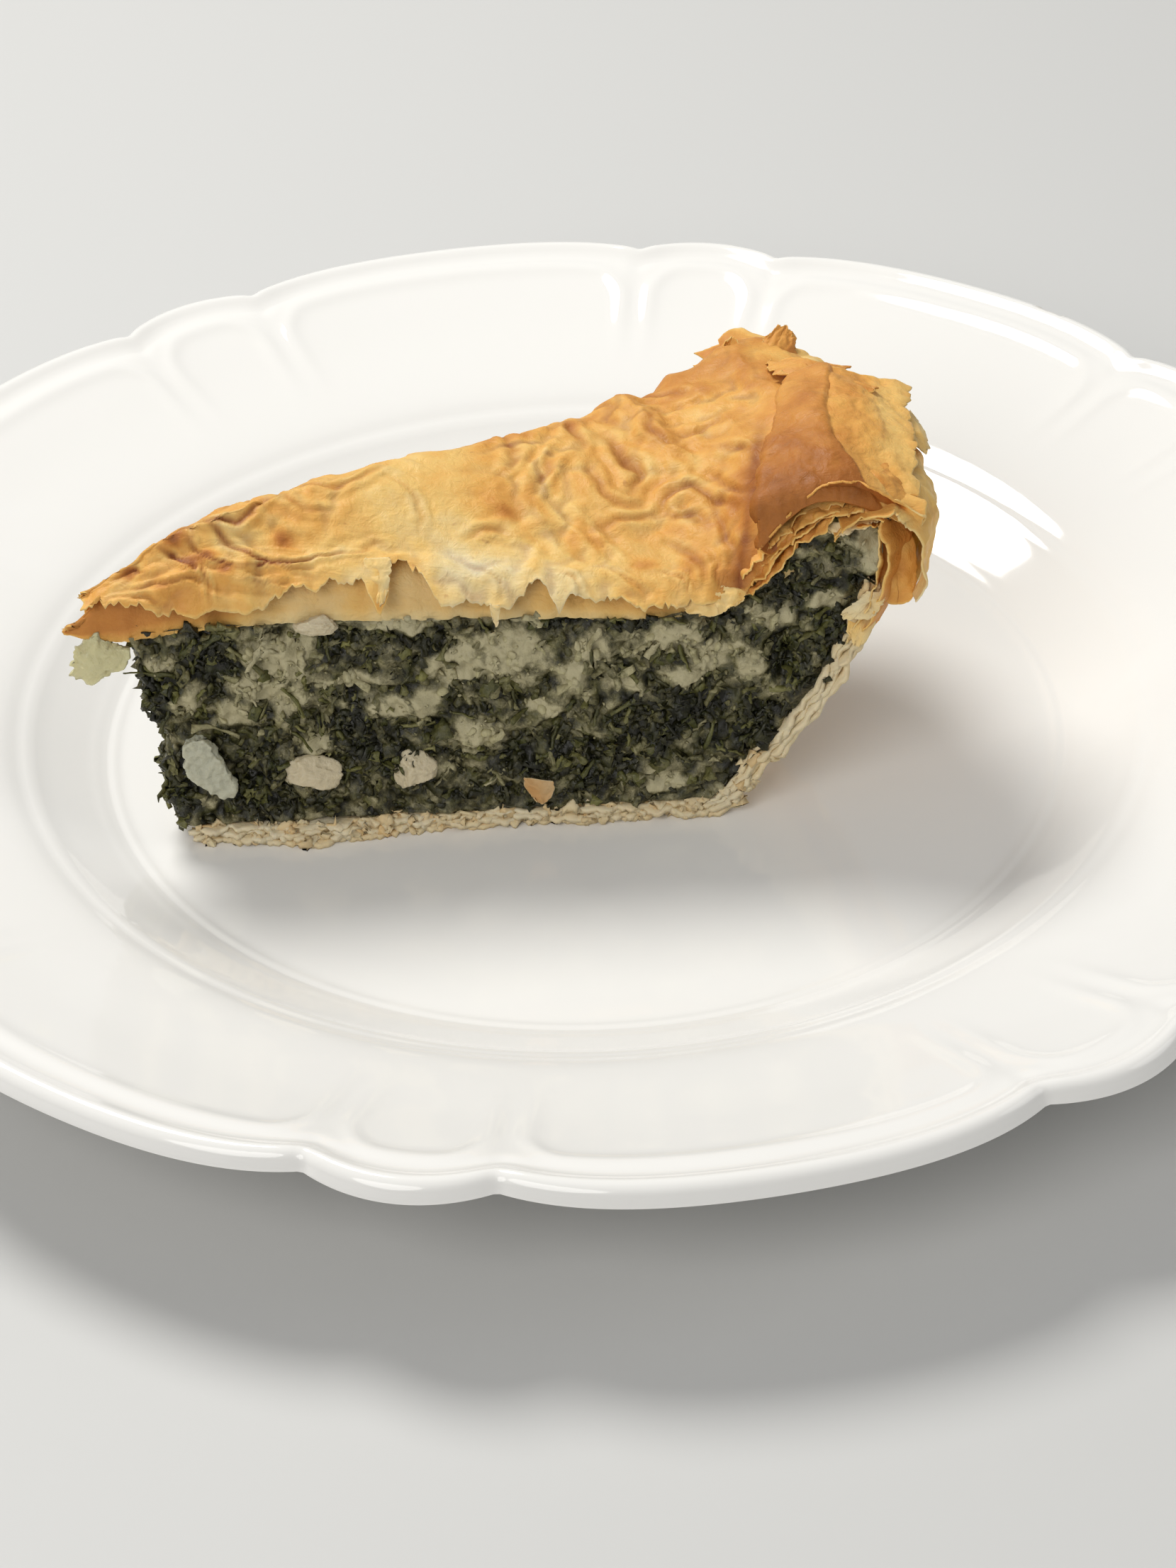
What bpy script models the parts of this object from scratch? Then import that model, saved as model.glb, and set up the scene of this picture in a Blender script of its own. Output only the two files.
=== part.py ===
"""A wedge of spinach and feta pie on its scalloped dinner plate.

Metres, +Z up. The origin is the centre of the plate's foot, on the surface that it stands on.
The wedge's own coordinates are the distance from the pie's centre, the share of the way round
from the front cut to the back cut, and the height above the plate's floor.
"""

import math

import bmesh
import bpy
from mathutils import Matrix, Vector, noise

# The plate
PLATE_RADIUS = 0.135
PLATE_HEIGHT = 0.026
FLOOR_RADIUS = 0.0784  # where the flat floor starts to rise
WELL_RADIUS = 0.0908  # where the well's side meets the rim
FLOOR_Z = 0.0063
WELL_Z = 0.0125
PLATE_WALL = 0.0040
FOOT_RADIUS = 0.0705  # middle of the foot ring
FOOT_WIDTH = 0.0040
PLATE_STEPS = 144
LOBE_PAIRS = 8  # a long lobe and a short one, repeated round the edge
FIRST_CUSP = math.radians(27.6)
SHORT_LOBE = math.radians(11.6)
LOBE_DEPTH = 0.0034

# The wedge
PIE_CENTRE = Vector((-0.074, -0.030, 0.0))
FRONT_CUT = math.radians(2.2)
BACK_CUT = math.radians(32.0)
TIP_WIDTH = 0.004  # the point of the wedge is torn off this wide
RIM_START, RIM_END = 0.085, 0.110
RIM_DROP = 0.085  # share of its height that the rim loses from the front cut to the back one
GAP = 0.0003  # between pieces that touch
CHIP_STANDOFF = 0.0025
CHIP_TURN = math.radians(52.0)
CHIP_RADII = (0.0056, 0.0009, 0.0036)
CURD_RADII = (0.0046, 0.0019, 0.0050)

# Outlines in the plane of a cut: distance from the pie's centre, height above the floor
CRUST_TOP = (
    (-0.003, 0.0435), (0.010, 0.0470), (0.036, 0.0480), (0.062, 0.0465), (0.088, 0.0450),
    (0.097, 0.0480), (0.104, 0.0565), (0.113, 0.0605), (0.122, 0.0595), (0.128, 0.0540),
    (0.1305, 0.0460), (0.1290, 0.0370),
)
BACK_RISE = (  # how much higher the lid stands at the back cut than at the front one
    (0.000, 0.0010), (0.012, 0.0040), (0.021, 0.0063), (0.035, 0.0050), (0.047, 0.0070),
    (0.059, 0.0070), (0.070, 0.0060), (0.079, 0.0064), (0.088, 0.0056), (0.094, 0.0065),
    (0.100, 0.0030), (0.105, 0.0005), (0.128, 0.0005),
)
CRUST_UNDER = (
    (-0.003, 0.0400), (0.012, 0.0415), (0.036, 0.0420), (0.062, 0.0408), (0.088, 0.0387),
    (0.097, 0.0400), (0.105, 0.0445), (0.111, 0.0507), (0.117, 0.0558), (0.1225, 0.0563),
    (0.1268, 0.0470), (0.1262, 0.0380),
)
FILLING_TOP = (
    (0.007, 0.0400), (0.017, 0.0405), (0.036, 0.0408), (0.062, 0.0396), (0.088, 0.0375),
    (0.097, 0.0387), (0.105, 0.0430), (0.111, 0.0490), (0.116, 0.0535), (0.121, 0.0545),
)
FILLING_SIDE = ((0.0940, 0.0036), (0.1045, 0.0150), (0.1135, 0.0275), (0.1185, 0.0410), (0.1210, 0.0545))
FILLING_TIP = (  # the point has crumbled back unevenly below the lid
    (0.0103, 0.0013), (0.0086, 0.0060), (0.0079, 0.0125), (0.0097, 0.0190), (0.0062, 0.0275),
    (0.0056, 0.0340), (0.0070, 0.0400),
)
WALL_SIDE = ((0.0966, GAP), (0.1070, 0.0130), (0.1160, 0.0262), (0.1218, 0.0405), (0.1236, 0.0500))
BASE_THICKNESS = 0.0032
BASE_LIP = 0.0030  # how far the base reaches in front of the front cut


def material(name, colour, roughness, metallic=0.0):
    made = bpy.data.materials.new(name)
    made.use_nodes = True
    shader = made.node_tree.nodes["Principled BSDF"]
    shader.inputs["Base Color"].default_value = (*colour, 1.0)
    shader.inputs["Roughness"].default_value = roughness
    shader.inputs["Metallic"].default_value = metallic
    return made


def clear_scene():
    for obj in list(bpy.data.objects):
        bpy.data.objects.remove(obj)


def add_object(name, mesh, finish, collection):
    obj = bpy.data.objects.new(name, mesh)
    mesh.materials.clear()
    mesh.materials.append(finish)
    collection.objects.link(obj)
    return obj


def along(outline, share):
    """The point that lies this share of the way along a smooth curve through the outline."""
    spans = len(outline) - 1
    place = min(max(share, 0.0), 1.0) * spans
    i = min(int(place), spans - 1)
    t = place - i
    points = [Vector(outline[min(max(k, 0), spans)]) for k in (i - 1, i, i + 1, i + 2)]
    a, b, c, d = points
    return 0.5 * (2 * b + (c - a) * t + (2 * a - 5 * b + 4 * c - d) * t**2 + (3 * b - a - 3 * c + d) * t**3)


def at_distance(outline, distance):
    """The outline's height at this distance from the pie's centre."""
    for (d0, h0), (d1, h1) in zip(outline, outline[1:]):
        if distance <= d1:
            break
    return h0 + (h1 - h0) * min(max((distance - d0) / (d1 - d0), 0.0), 1.0)


def at_height(outline, height):
    """The outline's distance from the pie's centre at this height."""
    for (d0, h0), (d1, h1) in zip(outline, outline[1:]):
        if height <= h1:
            break
    return d0 + (d1 - d0) * min(max((height - h0) / (h1 - h0), 0.0), 1.0)


def in_wedge(distance, share, height):
    """World position of a point of the wedge. The torn tip keeps both cuts apart near the centre."""
    angle = FRONT_CUT + share * (BACK_CUT - FRONT_CUT)
    outward = Vector((math.cos(angle), math.sin(angle), 0.0))
    sideways = Vector((-math.sin(FRONT_CUT), math.cos(FRONT_CUT), 0.0))
    tip = sideways * TIP_WIDTH * share * max(0.0, 1.0 - distance / 0.05)
    rim = min(max((distance - RIM_START) / (RIM_END - RIM_START), 0.0), 1.0)
    height *= 1.0 - RIM_DROP * share * rim * rim * (3.0 - 2.0 * rim)
    return PIE_CENTRE + outward * distance + tip + Vector((0.0, 0.0, FLOOR_Z + height))


def grid_block(cuts_along, cuts_across, cuts_up):
    """A unit block from 0 to 1 each way, split into a grid on every side."""
    block = bmesh.new()
    bmesh.ops.create_cube(block, size=1.0)
    bmesh.ops.translate(block, verts=block.verts, vec=(0.5, 0.5, 0.5))
    for axis, cuts in enumerate((cuts_along, cuts_across, cuts_up)):
        edges = [e for e in block.edges if abs(e.verts[0].co[axis] - e.verts[1].co[axis]) > 0.5]
        if cuts:
            bmesh.ops.subdivide_edges(block, edges=edges, cuts=cuts, use_grid_fill=True)
    return block


def block_object(name, block, place, finish, collection, smooth_angle=40.0):
    """The grid block with each corner moved by place(along, across, up), as a named object."""
    for vert in block.verts:
        vert.co = place(*vert.co)
    mesh = bpy.data.meshes.new(name)
    block.to_mesh(mesh)
    block.free()
    mesh.shade_smooth()
    mesh.set_sharp_from_angle(angle=math.radians(smooth_angle))
    return add_object(name, mesh, finish, collection)


def uneven(point, size, depth, seed):
    """A smooth bump field: up to depth each way, with bumps about size across."""
    return depth * noise.noise(point / size + Vector((seed, 0.0, 0.0)))


def plate_profile():
    """Half of the plate's section, from the middle of its face out over the edge and back under."""
    foot_out, foot_in = FOOT_RADIUS + FOOT_WIDTH / 2, FOOT_RADIUS - FOOT_WIDTH / 2
    under = FLOOR_Z - PLATE_WALL
    rim_z = PLATE_HEIGHT
    return (
        (0.0, FLOOR_Z),
        (FLOOR_RADIUS - 0.0015, FLOOR_Z),
        (FLOOR_RADIUS + 0.0005, FLOOR_Z + 0.0004),
        (FLOOR_RADIUS + 0.0065, FLOOR_Z + 0.0032),
        (WELL_RADIUS, WELL_Z),
        (WELL_RADIUS + 0.006, WELL_Z + 0.0027),
        (PLATE_RADIUS - 0.022, rim_z - 0.0062),
        (PLATE_RADIUS - 0.006, rim_z - 0.0010),
        (PLATE_RADIUS - 0.0018, rim_z),
        (PLATE_RADIUS, rim_z - 0.0014),
        (PLATE_RADIUS - 0.0014, rim_z - 0.0034),
        (PLATE_RADIUS - 0.022, rim_z - 0.0062 - PLATE_WALL),
        (WELL_RADIUS + 0.006, WELL_Z + 0.0027 - PLATE_WALL),
        (WELL_RADIUS - 0.002, WELL_Z - PLATE_WALL - 0.0012),
        (FLOOR_RADIUS, under + 0.0006),
        (foot_out + 0.0010, under),
        (foot_out, 0.0),
        (foot_in, 0.0),
        (foot_in - 0.0010, under),
        (0.0, under),
    )


def lobe_inset(angle):
    """How far the scalloped edge lies inside the plate's full radius at this angle."""
    pair = 2 * math.pi / LOBE_PAIRS
    turned = (angle - FIRST_CUSP) % pair
    if turned < SHORT_LOBE:
        place, sharpness = turned / SHORT_LOBE, 2.0
    else:
        place, sharpness = (turned - SHORT_LOBE) / (pair - SHORT_LOBE), 4.0
    return LOBE_DEPTH * abs(2 * place - 1) ** sharpness


def make_plate(finish, collection):
    profile = bmesh.new()
    corners = [profile.verts.new((r, 0.0, z)) for r, z in plate_profile()]
    for first, second in zip(corners, corners[1:]):
        profile.edges.new((first, second))
    outline = bpy.data.meshes.new("plate_outline")
    profile.to_mesh(outline)
    profile.free()
    turned = bpy.data.objects.new("plate_turned", outline)
    collection.objects.link(turned)
    screw = turned.modifiers.new("Turn", "SCREW")
    screw.steps = screw.render_steps = PLATE_STEPS
    screw.use_merge_vertices = True
    screw.merge_threshold = 0.0001
    graph = bpy.context.evaluated_depsgraph_get()
    mesh = bpy.data.meshes.new_from_object(turned.evaluated_get(graph))
    bpy.data.objects.remove(turned)
    for vert in mesh.vertices:  # the scallops fade out across the rim
        radius = math.hypot(vert.co.x, vert.co.y)
        share = max(0.0, (radius - WELL_RADIUS) / (PLATE_RADIUS - WELL_RADIUS))
        if share > 0.0:
            inset = lobe_inset(math.atan2(vert.co.y, vert.co.x)) * share**3
            vert.co.xy *= (radius - inset) / radius
    mesh.shade_smooth()
    mesh.set_sharp_from_angle(angle=math.radians(50.0))
    return add_object("plate", mesh, finish, collection)


def crust_relief(distance, share):
    """Height that the lid gains behind the front cut: its rise to the back, a puff, a flap and wrinkles."""
    puff = 0.0025 * math.sin(math.pi * share)
    rise = at_distance(BACK_RISE, distance) * share * share * (3.0 - 2.0 * share)
    flap = 0.0030 * max(0.0, 1.0 - abs(distance - 0.106) / 0.010) * max(0.0, 1.0 - share / 0.5)
    place = Vector((distance, share * 0.05, 0.0))
    return puff + rise + flap + uneven(place, 0.011, 0.0012, 3.1)


def make_lid(finish, collection):
    def place(u, v, w):
        under, top = along(CRUST_UNDER, u), along(CRUST_TOP, u)
        distance, height = under.lerp(top, w)
        fade = min(1.0, max(0.0, (0.97 - u) / 0.2))
        height += w * crust_relief(distance, v) * fade
        height += (1.0 - w) * 0.6 * GAP
        return in_wedge(distance, v, height)

    return block_object("crust_lid", grid_block(43, 13, 0), place, finish, collection)


def make_filling(finish, collection):
    def place(u, v, w):
        top_distance = 0.007 + u * (FILLING_TOP[-1][0] - 0.007)
        top = at_distance(FILLING_TOP, top_distance)
        height = BASE_THICKNESS + GAP + w * (top - BASE_THICKNESS - GAP)
        tip = at_height(FILLING_TIP, height)
        distance = tip + u * (at_height(FILLING_SIDE, height) - tip)
        point = in_wedge(distance, v, height)
        if v < 0.01:
            point.y -= uneven(point, 0.008, 0.0010, 7.7)
        return point

    return block_object("filling", grid_block(29, 9, 5), place, finish, collection, 60.0)


def make_base(finish, collection):
    """The base and the outer wall, one bent sheet of pastry under and behind the filling."""
    inner = [(d + GAP, h) for d, h in FILLING_SIDE]
    bend = 0.72  # share of the sheet that lies flat

    def place(u, v, w):
        if u <= bend:
            distance = 0.009 + (u / bend) * ((WALL_SIDE[0][0], inner[0][0] + 0.0004)[w > 0.5] - 0.009)
            height = GAP + w * (BASE_THICKNESS - GAP)
            lip = BASE_LIP * max(0.0, 1.0 - v / 0.08) * math.sin(math.pi * u / bend)
            return in_wedge(distance, v, height) - Vector((0.0, lip, 0.0))
        climb = (u - bend) / (1.0 - bend)
        distance, height = along(inner if w > 0.5 else WALL_SIDE, climb)
        if w > 0.5:
            height = BASE_THICKNESS + climb * (0.0495 - BASE_THICKNESS)
            distance = at_height(inner, height) + 0.0004
        return in_wedge(distance, v, height)

    return block_object("base_crust", grid_block(24, 9, 0), place, finish, collection)


def make_tip_curd(finish, collection):
    """A scrap of set egg and cheese that hangs from the lid's underside, past the filling's tip."""
    lump = bmesh.new()
    bmesh.ops.create_icosphere(lump, subdivisions=2, radius=1.0)
    mesh = bpy.data.meshes.new("tip_curd")
    middle = in_wedge(-0.0003, 0.4, 0.0342)
    for vert in lump.verts:
        rough = 1.0 + 0.25 * noise.noise(vert.co * 2.3)
        vert.co = middle + rough * Vector([c * r for c, r in zip(vert.co, CURD_RADII)])
    lump.to_mesh(mesh)
    lump.free()
    mesh.shade_smooth()
    return add_object("tip_curd", mesh, finish, collection)


def make_feta_chip(finish, collection):
    """A thin scrap of cheese that leans on the front cut near the tip."""
    chip = bmesh.new()
    bmesh.ops.create_icosphere(chip, subdivisions=2, radius=1.0)
    mesh = bpy.data.meshes.new("feta_chip")
    middle = in_wedge(0.0157, 0.0, 0.0163) - Vector((0.0, CHIP_STANDOFF, 0.0))
    turn = Matrix.Rotation(CHIP_TURN, 3, "Y")
    for vert in chip.verts:
        rough = 1.0 + 0.18 * noise.noise(vert.co * 1.9)
        vert.co = middle + rough * (turn @ Vector([c * r for c, r in zip(vert.co, CHIP_RADII)]))
    chip.to_mesh(mesh)
    chip.free()
    mesh.shade_smooth()
    return add_object("feta_chip", mesh, finish, collection)


def main():
    clear_scene()
    collection = bpy.data.collections.new("spinach_pie_slice")
    bpy.context.scene.collection.children.link(collection)
    china = material("white_china", (0.86, 0.85, 0.81), 0.12)
    pastry = material("browned_pastry", (0.72, 0.40, 0.14), 0.45)
    pale_pastry = material("pale_pastry", (0.62, 0.44, 0.20), 0.55)
    greens = material("spinach_and_feta", (0.10, 0.11, 0.06), 0.50)
    curd = material("curd", (0.60, 0.60, 0.42), 0.45)
    feta = material("feta", (0.62, 0.62, 0.52), 0.45)
    make_plate(china, collection)
    make_lid(pastry, collection)
    make_filling(greens, collection)
    make_base(pale_pastry, collection)
    make_tip_curd(curd, collection)
    make_feta_chip(feta, collection)


main()
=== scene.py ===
import math

import bmesh
import bpy
import numpy as np
from mathutils import Matrix, Vector, noise


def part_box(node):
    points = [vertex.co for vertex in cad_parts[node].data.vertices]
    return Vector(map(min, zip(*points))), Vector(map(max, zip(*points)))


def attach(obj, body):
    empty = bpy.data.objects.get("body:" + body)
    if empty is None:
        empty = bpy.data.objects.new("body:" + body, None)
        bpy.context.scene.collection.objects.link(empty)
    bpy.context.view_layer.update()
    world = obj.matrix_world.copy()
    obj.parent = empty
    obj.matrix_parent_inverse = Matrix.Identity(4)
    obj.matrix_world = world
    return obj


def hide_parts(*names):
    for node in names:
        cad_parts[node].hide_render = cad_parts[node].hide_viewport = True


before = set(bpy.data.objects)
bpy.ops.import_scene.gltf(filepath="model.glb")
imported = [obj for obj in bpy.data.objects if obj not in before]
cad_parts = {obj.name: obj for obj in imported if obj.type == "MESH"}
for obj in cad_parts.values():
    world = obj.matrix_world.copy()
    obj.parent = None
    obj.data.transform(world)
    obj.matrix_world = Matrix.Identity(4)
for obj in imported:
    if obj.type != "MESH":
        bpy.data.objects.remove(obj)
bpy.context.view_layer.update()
mm = 0.001
scene = bpy.context.scene

# the wedge's own frame: d runs along the front cut from the pie's centre, t straight back from
# that cut and h up from the plate's floor, all in millimetres
wedge = {
    "centre": Vector((-0.074, -0.030, 0.0)),
    "frontCut": math.radians(2.2),
    "backCut": math.radians(32.0),
    "tipWidth": 4.0,  # the torn tip keeps the cuts this far apart
    "tipReach": 50.0,  # and no more from this distance on
    "floorZ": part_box("base_crust")[0].z - 0.3 * mm,
    "rimDrop": 0.085,
}
alongCut = Vector((math.cos(wedge["frontCut"]), math.sin(wedge["frontCut"]), 0.0))
backward = Vector((-alongCut.y, alongCut.x, 0.0))
opening = wedge["backCut"] - wedge["frontCut"]


def smooth(low, high, value):
    x = min(max((value - low) / (high - low), 0.0), 1.0)
    return x * x * (3.0 - 2.0 * x)


def mix(a, b, share):
    return a + (b - a) * share


def read(points, x):
    # straight runs between (x, value, ...) points, as one value or a vector of them
    if x <= points[0][0]:
        return Vector(points[0][1:]) if len(points[0]) > 2 else points[0][1]
    for a, b in zip(points, points[1:]):
        if x <= b[0]:
            break
    share = min((x - a[0]) / (b[0] - a[0]), 1.0)
    if len(a) > 2:
        return Vector(a[1:]).lerp(Vector(b[1:]), share)
    return mix(a[1], b[1], share)


def curve(points, share):
    # smooth curve through the points, by the share of the way along it
    spans = len(points) - 1
    along = min(max(share, 0.0), 1.0) * spans
    i = min(int(along), spans - 1)
    x = along - i
    a, b, c, d = (Vector(points[min(max(k, 0), spans)]) for k in (i - 1, i, i + 1, i + 2))
    return 0.5 * (2 * b + (c - a) * x + (2 * a - 5 * b + 4 * c - d) * x**2 + (3 * b - a - 3 * c + d) * x**3)


def place(d, t, h):
    return wedge["centre"] + alongCut * d * mm + backward * t * mm + Vector((0, 0, wedge["floorZ"] + h * mm))


def tipGap(radius):
    return wedge["tipWidth"] * max(0.0, 1.0 - radius / wedge["tipReach"])


def polar(radius, share, h):
    # the same place by its distance from the pie's centre and the share of the way round
    turn = share * opening
    return place(radius * math.cos(turn), radius * math.sin(turn) + tipGap(radius) * share, h)


def grain(x, y, size, seed=0.0):
    return noise.noise(Vector((x / size, y / size, seed)))


def roughly(x, y, size, seed=0.0, octaves=4):
    return noise.fractal(Vector((x / size, y / size, seed)), 0.9, 2.1, octaves)


def shards(x, pitch, seed):
    # depth from 0 to 1 of the jagged teeth along a torn edge
    along = x / pitch + 1.1 * grain(x, 0.0, 2.2 * pitch, seed)
    tooth = math.floor(along)
    luck = 0.5 + 0.5 * noise.cell(Vector((tooth + 0.5, 17.0 * seed, 0.5)))
    other = 0.5 + 0.5 * noise.cell(Vector((tooth + 0.5, 17.0 * seed, 3.5)))
    peak = 0.08 + 0.84 * other
    within = along - tooth
    return (0.08 + 0.92 * luck**2) * min(within / peak, (1.0 - within) / (1.0 - peak))


def crumpled(x, y, size, seed):
    # sharp ridges between soft hollows, as in thin brittle pastry
    return 0.85 - 1.5 * abs(grain(x, y, size, seed)) - 0.9 * abs(grain(x, y, 0.45 * size, seed + 0.5))


def finishPiece(name, bm, material, replaced=(), thickness=0.0, sharp=None, offset=-1.0):
    mesh = bpy.data.meshes.new(name)
    bm.normal_update()
    bm.to_mesh(mesh)
    bm.free()
    mesh.materials.append(material)
    mesh.shade_smooth()
    if sharp:
        mesh.set_sharp_from_angle(angle=math.radians(sharp))
    piece = bpy.data.objects.new(name, mesh)
    scene.collection.objects.link(piece)
    if thickness:
        wall = piece.modifiers.new("Wall", "SOLIDIFY")
        wall.thickness = thickness * mm
        wall.offset = offset
        wall.use_even_offset = False
    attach(piece, "root")
    for node in replaced:
        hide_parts(node)
    triangles = sum(len(p.vertices) - 2 for p in mesh.polygons)
    print(f"{name}: {triangles} triangles")
    return piece


# camera, light and floor
view = {"place": (0.00023, -0.47104, 0.33908), "pitch": 36.23, "roll": -1.67, "lens": 80.0}


def makeCamera():
    data = bpy.data.cameras.new("camera")
    data.lens = view["lens"]
    data.clip_start = 0.01
    camera = bpy.data.objects.new("camera", data)
    scene.collection.objects.link(camera)
    tilt = Matrix.Rotation(math.radians(90.0 - view["pitch"]), 4, "X")
    roll = Matrix.Rotation(math.radians(view["roll"]), 4, "Z")
    camera.matrix_world = Matrix.Translation(view["place"]) @ tilt @ roll
    scene.camera = camera


lights = {  # place, target, size (m), strength (W), colour
    "key": ((-0.36, 0.46, 0.92), (0.0, 0.0, 0.0), 0.45, 9.0, (1.0, 0.985, 0.95)),
    "front": ((-0.50, -0.90, 0.80), (0.0, 0.0, 0.02), 0.80, 6.6, (1.0, 0.98, 0.95)),
    "right": ((0.95, -0.10, 0.60), (0.0, 0.0, 0.02), 0.60, 1.4, (1.0, 0.99, 0.97)),
    "sky": 0.28,
    "floor": (0.60, 0.60, 0.59),
}


def makeLights():
    for name in ("key", "front", "right"):
        spot, target, size, strength, colour = lights[name]
        data = bpy.data.lights.new(name, "AREA")
        data.shape = "DISK"
        data.size = size
        data.energy = strength
        data.color = colour
        lamp = bpy.data.objects.new(name, data)
        scene.collection.objects.link(lamp)
        lamp.location = spot
        lamp.rotation_euler = (Vector(target) - Vector(spot)).to_track_quat("-Z", "Y").to_euler()
    world = bpy.data.worlds.new("studio")
    world.use_nodes = True
    world.node_tree.nodes["Background"].inputs["Color"].default_value = (0.97, 0.985, 1.0, 1.0)
    world.node_tree.nodes["Background"].inputs["Strength"].default_value = lights["sky"]
    scene.world = world
    scene.view_settings.view_transform = "Standard"


def makeFloor():
    bm = bmesh.new()
    bmesh.ops.create_grid(bm, x_segments=1, y_segments=1, size=3.0)
    mesh = bpy.data.meshes.new("floor")
    bm.to_mesh(mesh)
    bm.free()
    material = bpy.data.materials.new("paleFloor")
    material.use_nodes = True
    shader = material.node_tree.nodes["Principled BSDF"]
    shader.inputs["Base Color"].default_value = (*lights["floor"], 1.0)
    shader.inputs["Roughness"].default_value = 0.6
    mesh.materials.append(material)
    floor = bpy.data.objects.new("floor", mesh)
    scene.collection.objects.link(floor)


# shader building
def newGroup(name, inputs, outputs):
    group = bpy.data.node_groups.new(name, "ShaderNodeTree")
    for socket, kind, value in inputs:
        made = group.interface.new_socket(socket, in_out="INPUT", socket_type="NodeSocket" + kind)
        if value is not None:
            made.default_value = value
    for socket, kind in outputs:
        group.interface.new_socket(socket, in_out="OUTPUT", socket_type="NodeSocket" + kind)
    start = group.nodes.new("NodeGroupInput")
    end = group.nodes.new("NodeGroupOutput")
    return group, start, end


def addNode(tree, kind, links=None, **settings):
    node = tree.nodes.new("ShaderNode" + kind)
    for name, value in settings.items():
        setattr(node, name, value)
    for socket, value in (links or {}).items():
        target = node.inputs[socket]
        if isinstance(value, bpy.types.NodeSocket):
            tree.links.new(value, target)
        else:
            target.default_value = value
    return node


def maths(tree, operation, *values, clamp=False):
    return addNode(tree, "Math", dict(enumerate(values)), operation=operation, use_clamp=clamp).outputs[0]


def ramp(tree, factor, stops, smoothly=True):
    node = addNode(tree, "ValToRGB", {"Fac": factor})
    node.color_ramp.interpolation = "EASE" if smoothly else "LINEAR"
    elements = node.color_ramp.elements
    while len(elements) < len(stops):
        elements.new(0.5)
    for element, (at, colour) in zip(elements, stops):
        element.position = at
        element.color = (*colour, 1.0) if len(colour) == 3 else (colour[0],) * 3 + (1.0,)
    return node.outputs["Color"]


def overlaid(tree, amount, first, second):
    # the second colour over the first one
    if not isinstance(second, bpy.types.NodeSocket):
        second = (*second, 1.0)
    return addNode(tree, "MixRGB", {"Fac": amount, "Color1": first, "Color2": second}).outputs[0]


def noiseNode(tree, vector, scale, detail=4.0, rough=0.55, distort=0.0):
    links = {"Vector": vector, "Scale": scale, "Detail": detail, "Roughness": rough, "Distortion": distort}
    return addNode(tree, "TexNoise", links)


def newMaterial(name):
    material = bpy.data.materials.new(name)
    material.use_nodes = True
    tree = material.node_tree
    return material, tree, tree.nodes["Principled BSDF"]


def mottleGroup():
    # soft cloudy value from -1 to 1 with fine grain on top
    group, start, end = newGroup(
        "mottle",
        [("Scale", "Float", 120.0), ("Grain", "Float", 0.3)],
        [("Value", "Float")],
    )
    where = addNode(group, "TexCoord").outputs["Object"]
    cloud = noiseNode(group, where, start.outputs["Scale"], 5.0, 0.6, 0.4).outputs["Fac"]
    fineScale = maths(group, "MULTIPLY", start.outputs["Scale"], 9.0)
    fine = noiseNode(group, where, fineScale, 3.0, 0.6).outputs["Fac"]
    cloud = maths(group, "SUBTRACT", maths(group, "MULTIPLY", cloud, 2.0), 1.0)
    fine = maths(group, "SUBTRACT", maths(group, "MULTIPLY", fine, 2.0), 1.0)
    fine = maths(group, "MULTIPLY", fine, start.outputs["Grain"])
    group.links.new(maths(group, "ADD", cloud, fine), end.inputs["Value"])
    return group


mottle = mottleGroup()


def mottled(tree, scale, grainAmount=0.3):
    node = tree.nodes.new("ShaderNodeGroup")
    node.node_tree = mottle
    node.inputs["Scale"].default_value = scale
    node.inputs["Grain"].default_value = grainAmount
    return node.outputs["Value"]


# plate
plate = {
    "radius": 135.0,
    "height": 26.0,
    "floorRadius": 78.4,
    "floorZ": 6.3,
    "wellRadius": 90.8,
    "wellZ": 12.5,
    "wall": 4.0,
    "footRadius": 70.5,
    "footWidth": 4.0,
    "steps": 960,
    "lobePairs": 8,
    "firstCusp": math.radians(27.6),
    "shortLobe": math.radians(11.6),
    "lobeDepth": 3.4,
    "rings": (  # radius, width, height
        (77.4, 0.9, 0.22), (79.9, 0.8, 0.18), (90.6, 1.1, 0.30), (93.0, 1.0, -0.12),
    ),
    "lip": ((1.6, 1.3, 0.30), (4.9, 1.5, -0.42)),  # distance in from the edge, width, height
    "frame": {"inset": 8.2, "gap": 2.6, "corner": 6.0, "width": 1.5, "height": 0.34, "fade": (12.0, 33.0)},
    "cusp": {"width": 1.5, "depth": 0.30, "fade": (3.0, 24.0)},
    "chips": ((math.radians(48.6), 2.9, 2.0), (math.radians(76.1), 1.4, 1.0)),  # angle, half width, depth
}


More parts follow.
